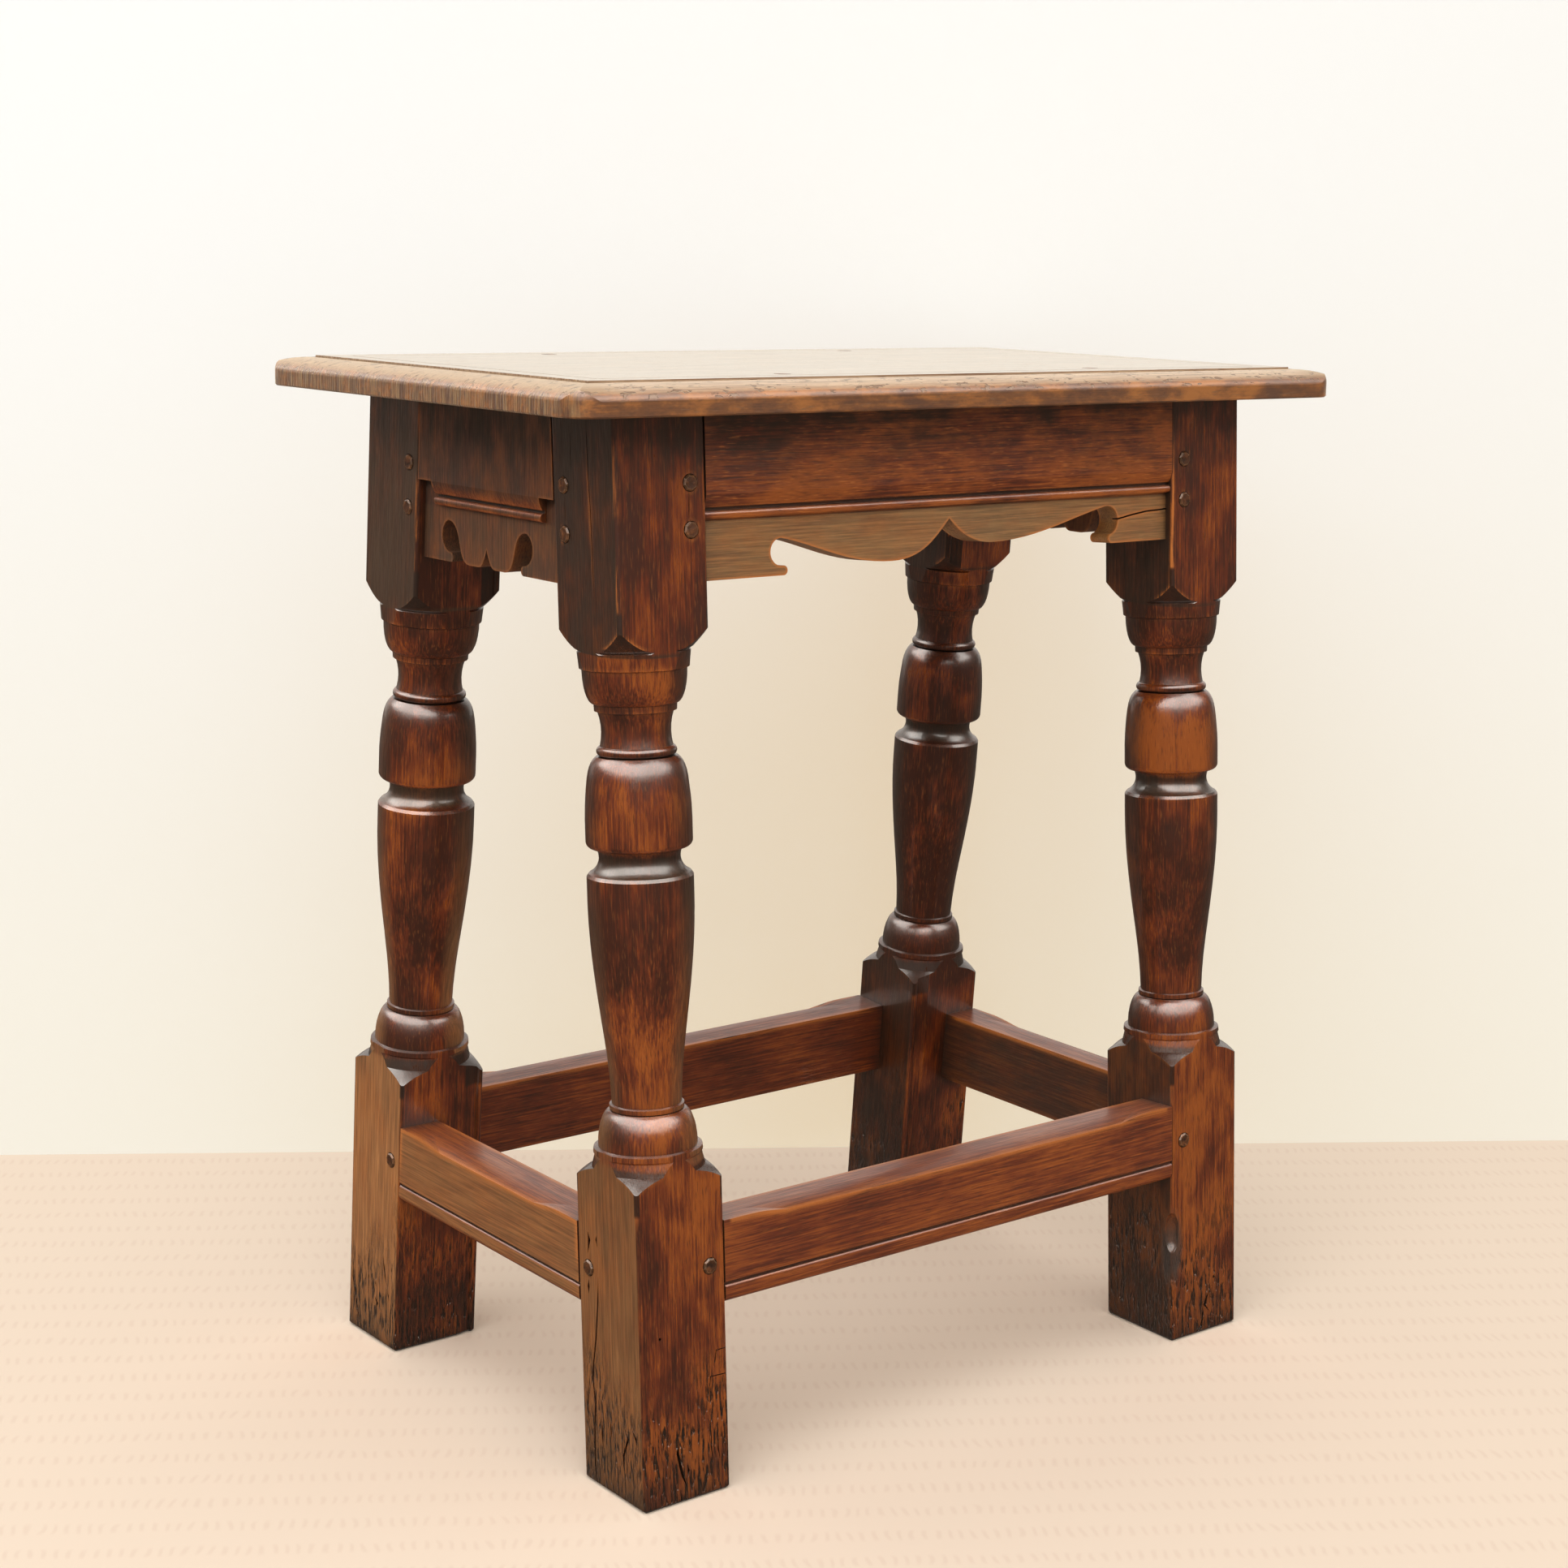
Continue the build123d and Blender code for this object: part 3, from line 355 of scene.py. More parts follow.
def seat_shade_and_dirt(tree, oak):
    """How much the wood just under the seat is darkened, partly by dust and partly as painted shade of the seat, and
    how much floor dirt lies on the feet.
    """
    height = oak.at["Z"]
    seat_shade = add(tree, "MapRange", {"Value": height, **between(*SHADED_UNDER_SEAT), "To Max": 0.85})
    dirt = add(tree, "MapRange", {"Value": height, **between(*DIRTY_FOOT), "To Max": 0.6})
    film = add(tree, "Math", {0: seat_shade, 1: dirt}, operation="MAXIMUM")
    uneven = add(tree, "MapRange", {"Value": oak.patch, **between(0.35, 0.60), "To Min": 1.3, "To Max": 0.35})
    return add(tree, "Math", {0: film, 1: uneven}, operation="MULTIPLY", use_clamp=True)


def rubbed_edges(tree, oak, leg, thin, open_air, wear_width, rub, rub_above, span):
    """Where convex edges are rubbed bare, in broken lines."""
    height = oak.at["Z"]
    rounded = add(tree, "Bevel", {"Radius": wear_width}, samples=4)
    turn = add(tree, "VectorMath", {0: oak.normal, 1: rounded}, out="Value", operation="DOT_PRODUCT")
    edge = add(tree, "MapRange", {"Value": turn, **between(0.99, 0.90)})
    outside = add(tree, "MapRange", {"Value": open_air, **between(0.78, 0.94)})
    broken = add(tree, "MapRange", {"Value": thin, **between(-0.15, 0.05), "To Max": rub})
    if leg:
        edge = add(tree, "Math", {0: edge, 1: leg.arris}, operation="MAXIMUM")
        # Kicks chip the feet instead and leave them dark, and the seat shelters the top.
        handled = add(tree, "MapRange", {"Value": height, **between(*HANDLED), "To Min": 0.05})
        sheltered = {"Value": height, **between(*SHELTERED), "To Min": 1.5, "To Max": 0.3}
        sheltered = add(tree, "MapRange", sheltered)
        turning = add(tree, "Math", {0: leg.round_part, 1: -0.55, 2: 1.0}, operation="MULTIPLY_ADD")
        # The arrises that a rail meets stay sharp and dark.
        meets = add(tree, "SeparateXYZ", {0: rounded}).node.outputs
        meets = add(tree, "Math", {0: meets["X"], 1: meets["Y"]}, operation="MULTIPLY")
        meets = add(tree, "MapRange", {"Value": meets, **between(-0.10, -0.02), "To Min": 0.2})
        off_limits = [leg.coves, leg.hollow]
        broken = overlap(tree, broken, handled, sheltered, turning, meets, but_not=off_limits)
    if rub_above:
        above = {"Value": height, **between(rub_above - 3 * MM, rub_above + 3 * MM), "To Min": 0.15}
        broken = overlap(tree, broken, add(tree, "MapRange", above))
    if span:
        # Nobody rubs a shoulder that butts against a leg.
        broken = overlap(tree, broken, within(tree, oak.at["X"], span))
    return overlap(tree, edge, outside, broken)


def knock_at(tree, oak, place):
    """A hollow where a knock has taken wood off a corner, taller than it is wide."""
    away = add(tree, "VectorMath", {0: oak.place, 1: place}, operation="SUBTRACT")
    away = add(tree, "VectorMath", {0: away, 1: (1.0, 1.0, 0.35)}, operation="MULTIPLY")
    away = add(tree, "VectorMath", {0: away}, out="Value", operation="LENGTH")
    return add(tree, "MapRange", {"Value": away, **between(9 * MM, 5 * MM), "To Max": 0.9})


def rotted_foot(tree, oak):
    """Upright cracks and pits in the lowest few centimetres."""
    cracks = figure(tree, oak.wood, 1.5 * MM, 9 * MM, 2.0)
    cracks = add(tree, "MapRange", {"Value": cracks, **between(0.50, 0.38)})
    decay = add(tree, "MapRange", {"Value": oak.at["Z"], **between(*ROTTED)})
    decay = add(tree, "Math", {0: oak.shade, 1: 2.2, 2: decay}, operation="MULTIPLY_ADD")
    decay = add(tree, "MapRange", {"Value": decay, **between(1.25, 1.95)})
    decay = overlap(tree, decay, add(tree, "MapRange", {"Value": oak.at["Z"], **between(*ROT_ENDS)}))
    return add(tree, "Math", {0: cracks, 1: decay}, operation="MULTIPLY")


def waxed_oak(
    name,
    finish,
    grain,  # one of the turns above
    seed,  # the stretch of the figure that the piece is cut from
    lift=0.0,  # how much thinner the wax is than on the other pieces
    clouds=1.0,  # contrast of the cloudy patches
    flecks=0.4,  # share of bare flecks
    rub=1.0,  # how much the edges are rubbed
    wear=1.0,  # how wide they are rubbed, in wear widths
    rub_above=0.0,  # height below which the edges are hardly rubbed
    span=None,  # stretch of X that is rubbed, as its middle and half its length
    dry=1.0,  # how dry the foot of the end faces is
    pale=1.0,  # how pale the dull faces are
    polish=1.0,  # how much of the wax's polish is left
    field_top=0.0,  # height of the top of a recessed field
    field_bloom=1.0,  # how much the field's pale colour shows
    bruise=None,  # where a corner is knocked off
    turned=False,
):
    """Oak, sawn, planed or turned, darkened by age and waxed for centuries.

    Thick wax leaves dark clouds, thin wax glows amber between them, and fine streaks follow the grain.
    Hands have rubbed the edges to orange, corners are darkened with dirt and painted shade, and the end faces stay
    dull.
    """
    material = new_material(name)
    tree = material.node_tree
    oak = oak_figure(tree, finish, grain, seed)
    leg = turned_parts(tree, oak) if turned else None
    thin = wax_thinness(tree, oak, leg, lift, clouds)
    tone = waxed_face(tree, oak, finish, thin, flecks)
    dull, dull_tone = dull_faces_and_outline_shade(tree, oak, leg, finish, dry, pale, field_top, field_bloom)
    # On the turned parts this lays the painted shade along their outlines.
    tone = add(tree, "Mix", {0: dull, 6: tone, 7: dull_tone}, **COLOURS)
    # The wood under the seat takes the film as painted shade with some dust, and the feet take floor dirt.
    tone = add(tree, "Mix", {0: seat_shade_and_dirt(tree, oak), 6: tone, 7: rgba(finish.film)}, **COLOURS)

    open_air = add(tree, "AmbientOcclusion", {"Distance": 12 * MM}, out="AO", samples=4)
    wear_width = finish.wear_width * wear
    rubbed = rubbed_edges(tree, oak, leg, thin, open_air, wear_width, rub, rub_above, span)
    tone = add(tree, "Mix", {0: rubbed, 6: tone, 7: rgba(finish.worn)}, **COLOURS)

    # Ambient occlusion darkens inside corners, partly wax and dirt, partly painted shade. The blocks' hollow corners
    # are darkened too, as painted shade on the upper ones that face down, and a knock holds dirt.
    inside = add(tree, "MapRange", {"Value": open_air, **between(0.90, 0.45), "To Max": 0.95}, **EASED)
    if leg:
        inside = add(tree, "Math", {0: inside, 1: overlap(tree, leg.hollow, 0.85)}, operation="MAXIMUM")
    if bruise:
        knock = knock_at(tree, oak, bruise)
        inside = add(tree, "Math", {0: inside, 1: knock}, operation="MAXIMUM")
    tone = add(tree, "Mix", {0: inside, 6: tone, 7: rgba(finish.grime_and_shade)}, **COLOURS)
    sunk = rotted_foot(tree, oak)
    tone = add(tree, "Mix", {0: sunk, 6: tone, 7: rgba(finish.grime_and_shade)}, **COLOURS)

    gloss = finish.gloss + 0.25 * (1 - polish)
    rough = {"Value": thin, **between(-0.2, 0.2), "To Min": gloss + 0.08, "To Max": gloss - 0.05}
    rough = add(tree, "Math", {0: dull, 1: 0.08, 2: add(tree, "MapRange", rough)}, operation="MULTIPLY_ADD")
    if bruise:
        rough = add(tree, "Math", {0: knock, 1: 0.6, 2: rough}, operation="MULTIPLY_ADD")

    # Shallow pores, the slow ups and downs of an old hand-planed face, and the depth of the rot.
    waves = figure(tree, oak.wood, 9 * MM, 16 * MM, 2.0)
    relief = add(tree, "Math", {0: oak.pores, 1: 0.10 * MM}, operation="MULTIPLY")
    relief = add(tree, "Math", {0: waves, 1: 0.35 * MM, 2: relief}, operation="MULTIPLY_ADD")
    relief = add(tree, "Math", {0: sunk, 1: -0.8 * MM, 2: relief}, operation="MULTIPLY_ADD")
    feeds = {
        "Base Color": tone,
        "Roughness": rough,
        "Normal": add(tree, "Bump", {"Height": relief, "Strength": 1.0, "Distance": 1.0}),
        "IOR": 1.48,
        "Specular IOR Level": 0.42,
        "Specular Tint": (1.0, 0.96, 0.92, 1.0),
        "Coat Weight": 0.45 * polish,
        "Coat Roughness": 0.18,
    }
    add(tree, "OutputMaterial", {"Surface": add(tree, "BsdfPrincipled", feeds)})
    return material


# ---- Scrubbed oak of the seat ------------------------------------------------------------------

# How far below the top the border ends and the flat begins, and how far down the walls of the line reach.
FLAT_STEP = 0.7 * MM, 0.3 * MM
LINE_WALL = 4 * MM, 3 * MM
END_STRIP = 24 * MM


def moulded_edge(tree, finish, facing, place, streak, patch, shade):
    """Colour of the edge, mottled gold with upright ridges of end grain at the ends, and those ridges' height."""
    thin = add(tree, "Math", {0: streak, 1: 0.35, 2: patch}, operation="MULTIPLY_ADD")
    thin = add(tree, "Math", {0: shade, 1: 0.4, 2: thin}, operation="MULTIPLY_ADD")
    body = add(tree, "MapRange", {"Value": thin, **between(0.70, 0.90)})
    amber = add(tree, "MapRange", {"Value": thin, **between(0.86, 1.04)})
    tone = add(tree, "Mix", {0: body, 6: rgba(finish.dark), 7: rgba(finish.body)}, **COLOURS)
    tone = add(tree, "Mix", {0: amber, 6: tone, 7: rgba(finish.amber)}, **COLOURS)
    # The ridges are a millimetre or two apart and run from top to bottom.
    ridge_size = (40 * MM, 1.1 * MM, 14 * MM)
    ridges = add(tree, "Mapping", {"Vector": place, "Scale": tuple(1 / size for size in ridge_size)})
    ridges = add(tree, "TexNoise", {"Vector": ridges, "Scale": 1.0, "Detail": 2.0}, out="Fac")
    end_face = add(tree, "Math", {0: facing["X"]}, operation="ABSOLUTE")
    end_face = add(tree, "MapRange", {"Value": end_face, **between(0.45, 0.8)})
    pale = add(tree, "MapRange", {"Value": ridges, **between(0.45, 0.62), "To Max": 0.85})
    end_tone = add(tree, "Mix", {0: pale, 6: rgba(finish.dark), 7: rgba(finish.dry)}, **COLOURS)
    uneven = add(tree, "MapRange", {"Value": patch, **between(0.60, 0.40), "To Min": 0.35})
    end_share = add(tree, "Math", {0: end_face, 1: uneven}, operation="MULTIPLY")
    tone = add(tree, "Mix", {0: end_share, 6: tone, 7: end_tone}, **COLOURS)
    return tone, add(tree, "Math", {0: ridges, 1: end_face}, operation="MULTIPLY")


def scrubbed_seat(finish):
    """Oak board, planed, scrubbed for centuries on its top and rubbed golden on its moulded edge.

    The flat is bleached and dry, the rolled border has a pinkish bloom, and the ends show coarse ridged end grain.
    """
    material = new_material("Scrubbed oak seat, moulded edge")
    tree = material.node_tree
    low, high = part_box("seat_board")
    top = high[2]
    place = add(tree, "TexCoord", out="Object")
    at = add(tree, "SeparateXYZ", {0: place}).node.outputs
    facing = add(tree, "SeparateXYZ", {0: add(tree, "NewGeometry", out="Normal")}).node.outputs
    wood = add(tree, "Mapping", {"Vector": place, "Location": (0.13, 0.41, 0.07), "Rotation": ALONG_X})
    streak = figure(tree, wood, 1.3 * MM, 60 * MM, 3.0)
    pores = figure(tree, wood, 0.8 * MM, 9 * MM, 1.0)
    patch = figure(tree, wood, 9 * MM, 22 * MM, 4.0, 0.65)
    shade = figure(tree, wood, 45 * MM, 90 * MM, 2.0)
    edge_tone, end_ridges = moulded_edge(tree, finish, facing, place, streak, patch, shade)

    # The border is greyer along the two ends. The walls of the incised line are as pale as the border.
    bleached = add(tree, "MapRange", {"Value": streak, **between(0.32, 0.66)})
    border = add(tree, "Mix", {0: bleached, 6: rgba(finish.film), 7: rgba(finish.worn)}, **COLOURS)
    middle, half = (low[0] + high[0]) / 2, (high[0] - low[0]) / 2
    inner = within(tree, at["X"], (middle, half - END_STRIP), 8 * MM)
    border = add(tree, "Mix", {0: overlap(tree, 0.5, but_not=[inner]), 6: border, 7: rgba(finish.dry)}, **COLOURS)
    up = add(tree, "MapRange", {"Value": facing["Z"], **between(0.72, 0.92)})
    near_top = add(tree, "MapRange", {"Value": at["Z"], **between(top - LINE_WALL[0], top - LINE_WALL[1])})
    up = add(tree, "Math", {0: up, 1: near_top}, operation="MAXIMUM")
    tone = add(tree, "Mix", {0: up, 6: edge_tone, 7: border}, **COLOURS)

    # The flat is browner in its streaks, with short dashes here and there.
    step = between(top - FLAT_STEP[0], top - FLAT_STEP[1])
    flat = add(tree, "MapRange", {"Value": at["Z"], **step})
    flat = add(tree, "Math", {0: flat, 1: 0.7}, operation="MULTIPLY")
    flat_tone = add(tree, "Mix", {0: bleached, 6: rgba(finish.body), 7: rgba(finish.worn)}, **COLOURS)
    tone = add(tree, "Mix", {0: flat, 6: tone, 7: flat_tone}, **COLOURS)
    dashes = add(tree, "MapRange", {"Value": figure(tree, wood, 2.5 * MM, 12 * MM, 1.0), **between(0.66, 0.74)})
    here_and_there = add(tree, "MapRange", {"Value": shade, **between(0.45, 0.6), "To Max": 0.6})
    dashes = overlap(tree, dashes, here_and_there)
    tone = add(tree, "Mix", {0: dashes, 6: tone, 7: rgba(finish.body)}, **COLOURS)

    # Dents, short cracks and chips hold dirt. The chips lie where the border rolls over.
    chips = add(tree, "MapRange", {"Value": figure(tree, wood, 3 * MM, 6 * MM, 2.0), **between(0.41, 0.35)})
    rolled = add(tree, "MapRange", {"Value": facing["Z"], **between(0.2, 0.5)})
    chips = overlap(tree, chips, rolled, but_not=[flat])
    dents = add(tree, "MapRange", {"Value": pores, **between(0.36, 0.26), "To Max": 0.8})
    dents = add(tree, "Math", {0: dents, 1: chips}, operation="MAXIMUM")
    tone = add(tree, "Mix", {0: dents, 6: tone, 7: rgba(finish.grime_and_shade)}, **COLOURS)
    # Ambient occlusion darkens the incised line and the corners a little: painted shade.
    open_air = add(tree, "AmbientOcclusion", {"Distance": 6 * MM}, out="AO", samples=4)
    inside = add(tree, "MapRange", {"Value": open_air, **between(0.80, 0.40), "To Max": 0.15})
    tone = add(tree, "Mix", {0: inside, 6: tone, 7: rgba(finish.grime_and_shade)}, **COLOURS)

    # The flat is scrubbed smooth, the border and the edge are duller.
    smooth = {"Value": at["Z"], **step, "To Min": finish.gloss, "To Max": finish.flat_gloss}
    rough = add(tree, "MapRange", {"Value": patch, **between(0.3, 0.7), "To Min": 0.06, "To Max": -0.04})
    rough = add(tree, "Math", {0: rough, 1: add(tree, "MapRange", smooth)}, operation="ADD")
    relief = add(tree, "Math", {0: pores, 1: 0.04 * MM}, operation="MULTIPLY")
    relief = add(tree, "Math", {0: end_ridges, 1: 1.0 * MM, 2: relief}, operation="MULTIPLY_ADD")
    relief = add(tree, "Math", {0: chips, 1: -0.6 * MM, 2: relief}, operation="MULTIPLY_ADD")
    feeds = {
        "Base Color": tone,
        "Roughness": rough,
        "Normal": add(tree, "Bump", {"Height": relief, "Strength": 1.0, "Distance": 1.0}),
        "IOR": 1.48,
        "Coat Weight": 0.38,
        "Coat Roughness": 0.3,
        "Sheen Weight": 0.5,
        "Sheen Roughness": 0.3,
        "Sheen Tint": (1.0, 0.97, 0.83, 1.0),
    }
    add(tree, "OutputMaterial", {"Surface": add(tree, "BsdfPrincipled", feeds)})
    return material


# ---- Riven oak of the pegs ---------------------------------------------------------------------


def oak_peg(finish):
    """Riven oak peg, driven in and waxed over. Its end grain is dark, and the edge of its head is rubbed pale."""
    material = new_material("Riven oak peg, end grain")
    tree = material.node_tree
    patch = figure(tree, add(tree, "TexCoord", out="Object"), 3 * MM, 3 * MM, 3.0)
    body = add(tree, "MapRange", {"Value": patch, **between(0.35, 0.60)})
    tone = add(tree, "Mix", {0: body, 6: rgba(finish.dark), 7: rgba(finish.body)}, **COLOURS)
    amber = add(tree, "MapRange", {"Value": patch, **between(0.55, 0.75)})
    tone = add(tree, "Mix", {0: amber, 6: tone, 7: rgba(finish.amber)}, **COLOURS)
    normal = add(tree, "NewGeometry", out="Normal")
    rounded = add(tree, "Bevel", {"Radius": 0.9 * MM}, samples=4)
    turn = add(tree, "VectorMath", {0: normal, 1: rounded}, out="Value", operation="DOT_PRODUCT")
    edge = add(tree, "MapRange", {"Value": turn, **between(0.985, 0.88), "To Max": 0.5})
    tone = add(tree, "Mix", {0: edge, 6: tone, 7: rgba(finish.worn)}, **COLOURS)
    # Ambient occlusion darkens round the head: partly dirt, partly painted shade.
    open_air = add(tree, "AmbientOcclusion", {"Distance": 3 * MM}, out="AO", samples=4)
    inside = add(tree, "MapRange", {"Value": open_air, **between(0.75, 0.50)})
    tone = add(tree, "Mix", {0: inside, 6: tone, 7: rgba(finish.grime_and_shade)}, **COLOURS)
    relief = add(tree, "Math", {0: patch, 1: 0.5 * MM}, operation="MULTIPLY")
    feeds = {
        "Base Color": tone,
        "Roughness": 0.38,
        "Normal": add(tree, "Bump", {"Height": relief, "Strength": 1.0, "Distance": 1.0}),
        "IOR": 1.48,
        "Specular IOR Level": 0.4,
    }
    add(tree, "OutputMaterial", {"Surface": add(tree, "BsdfPrincipled", feeds)})
    return material


# ---- The pieces --------------------------------------------------------------------------------


def finish_node(node, material):
    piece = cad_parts[node]
    piece.data.materials.clear()
    piece.data.materials.append(material)


def nodes_named(ending):
    found = sorted(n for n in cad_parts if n.endswith(ending))
    if not found:
        raise RuntimeError(f"the frame has no node ending in {ending}")
    return found


def is_long(node):
    """Whether a rail runs along X, between the two front legs or the two back ones."""
    return node.startswith(("front", "back"))


def between_legs():
    """Middle and half of the long rails' length between the legs, short of their shoulders."""
    left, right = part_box("front_left_leg")[1][0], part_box("front_right_leg")[0][0]
    return (left + right) / 2, (right - left) / 2 - 4 * MM


class STOOL_OT_seat(Operator):
    """Finishes the seat board"""

    bl_idname = "stool.seat"
    bl_label = "Seat Board"

    def execute(self, context):
        finish_node("seat_board", scrubbed_seat(context.scene.stool_seat_finish))
        return {"FINISHED"}


# The right legs keep the dark film down to the floor on their inner faces: painted shade inside the frame.
LEG_FINISHES = {
    "front_left_leg": {"seed": 5, "lift": 0.0, "dry": 1.0, "pale": 0.92},
    "front_right_leg": {"seed": 6, "lift": 0.05, "dry": 0.0, "pale": 1.0},
    "back_left_leg": {"seed": 3, "lift": -0.03, "dry": 0.8, "pale": 1.9},
    "back_right_leg": {"seed": 4, "lift": -0.09, "dry": 0.0, "pale": 0.9},
}
KNOCKED_LEG = "front_right_leg"
KNOCK_PLACE = (1 * MM, 5 * MM, 55 * MM)  # from the leg's left and front sides and from the floor


class STOOL_OT_legs(Operator):
    """Finishes the four turned legs"""

    bl_idname = "stool.legs"
    bl_label = "Turned Legs"

    def execute(self, context):
        for node, own in LEG_FINISHES.items():
            bruise = None
            if node == KNOCKED_LEG:
                low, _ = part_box(node)
                bruise = (low[0] + KNOCK_PLACE[0], low[1] + KNOCK_PLACE[1], KNOCK_PLACE[2])
            material = waxed_oak(
                f"Turned oak, {node.replace('_', ' ')}",
                context.scene.stool_frame_finish,
                ALONG_FRONT_LEG if node.startswith("front") else ALONG_BACK_LEG,
                **own,
                clouds=1.35,
                flecks=0.2,
                rub=0.8,
                wear=1.4,
                bruise=bruise,
                turned=True,
            )
            finish_node(node, material)
        return {"FINISHED"}


# The height of the fascia's lower edge, where the recessed field begins.
LONG_FIELD_TOP = 0.4874
SHORT_FIELD_TOP = 0.4823


class STOOL_OT_aprons(Operator):
    """Finishes the moulded aprons"""

    bl_idname = "stool.aprons"
    bl_label = "Moulded Aprons"

    def execute(self, context):
        # The short aprons are dull, and their grain is upright.
        long_apron = {
            "grain": ALONG_X,
            "span": between_legs(),
            "polish": 0.6,
            "field_top": LONG_FIELD_TOP,
        }
        short_apron = {
            "grain": UPRIGHT,
            "rub": 0.35,
            "pale": 0.8,
            "polish": 0.15,
            "field_top": SHORT_FIELD_TOP,
            "field_bloom": 0.12,
        }
        for seed, node in enumerate(nodes_named("_apron"), 11):
            material = waxed_oak(
                f"Run oak moulding, {node.replace('_', ' ')}",
                context.scene.stool_frame_finish,
                seed=seed,
                lift=0.08,
                flecks=0.5,
                **(long_apron if is_long(node) else short_apron),
            )
            finish_node(node, material)
        return {"FINISHED"}


class STOOL_OT_stretchers(Operator):
    """Finishes the stretchers"""

    bl_idname = "stool.stretchers"
    bl_label = "Stretchers"

    def execute(self, context):
        for seed, node in enumerate(nodes_named("_stretcher"), 21):
            low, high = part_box(node)
            material = waxed_oak(
                f"Planed oak, {node.replace('_', ' ')}",
                context.scene.stool_frame_finish,
                ALONG_X if is_long(node) else ALONG_Y,
                seed,
                lift=-0.03 if node.startswith("back") else 0.05,
                clouds=0.45,
                flecks=0.15,
                rub=1.5,
                wear=2.2,
                rub_above=(low[2] + high[2]) / 2,
                span=between_legs() if is_long(node) else None,
                # The right stretcher keeps the dark film low down on its inner face: painted shade inside the frame.
                dry=0.0 if node.startswith("right") else 1.0,
                polish=0.55,
            )
            finish_node(node, material)
        return {"FINISHED"}


class STOOL_OT_pegs(Operator):
    """Finishes the pegs of the frame and the seat"""

    bl_idname = "stool.pegs"
    bl_label = "Pegs"

    def execute(self, context):
        material = oak_peg(context.scene.stool_peg_finish)
        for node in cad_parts:
            if "peg" in node:
                finish_node(node, material)
        return {"FINISHED"}


# ---- The stage ---------------------------------------------------------------------------------

# The camera stands at the left front corner and looks a little down.
CAMERA_PLACE = Vector((-936.16, -1167.38, 622.08)) * MM
CAMERA_YAW, CAMERA_PITCH, CAMERA_ROLL = 0.6672, -0.1987, 0.0201
CAMERA_FOCAL_PIXELS = 3348.24
IMAGE_PIXELS = 1932
SENSOR_WIDTH = 36.0

STAGE_WIDTH = 12
WALL_HEIGHT = 5
WALL_FOOT_HEIGHT = 0.7

SOFT_BOX_PLACE = (-1.01, -0.77, 1.76)
SOFT_BOX_TARGET = (0, 0, 0.35)
# Level direction from the stool to the window, a little to the left of the camera.
WINDOW_SIDE = (-0.797, -0.607, 0)


def new_camera(scene):
    sin_yaw, cos_yaw = math.sin(CAMERA_YAW), math.cos(CAMERA_YAW)
    sin_pitch, cos_pitch = math.sin(CAMERA_PITCH), math.cos(CAMERA_PITCH)
    ahead = Vector((sin_yaw * cos_pitch, cos_yaw * cos_pitch, sin_pitch))
    level_right = Vector((cos_yaw, -sin_yaw, 0))
    right = math.cos(CAMERA_ROLL) * level_right + math.sin(CAMERA_ROLL) * level_right.cross(ahead)
    data = bpy.data.cameras.new("Camera")
    data.sensor_width = SENSOR_WIDTH
    data.lens = CAMERA_FOCAL_PIXELS / IMAGE_PIXELS * SENSOR_WIDTH
    data.clip_start, data.clip_end = 0.05, 60
    camera = bpy.data.objects.new("Camera", data)
    camera.matrix_world = Matrix((right, right.cross(ahead), -ahead)).transposed().to_4x4()
    camera.location = CAMERA_PLACE
    scene.collection.objects.link(camera)
    scene.camera = camera


def sheet(name, width, depth, matrix, material):
    """A flat sheet of the stage."""
    mesh = bmesh.new()
    bmesh.ops.create_grid(mesh, x_segments=1, y_segments=1, size=0.5)
    bmesh.ops.scale(mesh, verts=mesh.verts, vec=(width, depth, 1))
    bmesh.ops.transform(mesh, verts=mesh.verts, matrix=matrix)
    data = bpy.data.meshes.new(name)
    mesh.to_mesh(data)
    mesh.free()
    data.materials.append(material)
    piece = bpy.data.objects.new(name, data)
    bpy.context.scene.collection.objects.link(piece)


def floor_cloth(stage):
    """Cotton cloth with woven rows of small bowed stitches. It gives a matt pale ground that takes the shadow."""
    material = new_material("Woven cotton cloth")
    tree = material.node_tree
    place = add(tree, "TexCoord", out="Object")
    turned = add(tree, "Mapping", {"Vector": place, "Rotation": (0, 0, stage.wall_turn)})
    # A Wave node of scale 1 has its bands pi / 10 metres apart.
    row_scale, stitch_scale = (math.pi / 10 / width for width in (stage.row_spacing, stage.stitch_spacing))
    even = {"Vector": turned, "Scale": row_scale, "Distortion": 0.8, "Detail": 1.0, "Detail Scale": 3.0}
    bowed = {"Vector": turned, "Scale": stitch_scale, "Distortion": 4.0, "Detail": 1.0, "Detail Scale": 1.0}
    rows = add(tree, "TexWave", even, out="Fac", bands_direction="Y")
    stitches = add(tree, "TexWave", bowed, out="Fac", bands_direction="X")
    rows = add(tree, "MapRange", {"Value": rows, **between(0.55, 0.95)})
    stitches = add(tree, "MapRange", {"Value": stitches, **between(0.45, 0.95)})
    woven = overlap(tree, rows, stitches)
    tone = add(tree, "Mix", {0: woven, 6: rgba(stage.floor), 7: rgba(stage.floor_stitch)}, **COLOURS)
    cloth = add(tree, "BsdfDiffuse", {"Color": tone})
    # The cloth ends a little way off. The polish reflects the dim room beyond it.
    reflected = add(tree, "LightPath", out="Is Glossy Ray")
    room = add(tree, "Emission", {"Color": rgba(stage.floor), "Strength": stage.room_level})
    shader = add(tree, "MixShader", {0: reflected, 1: cloth, 2: room})
    add(tree, "OutputMaterial", {"Surface": shader})
    return material


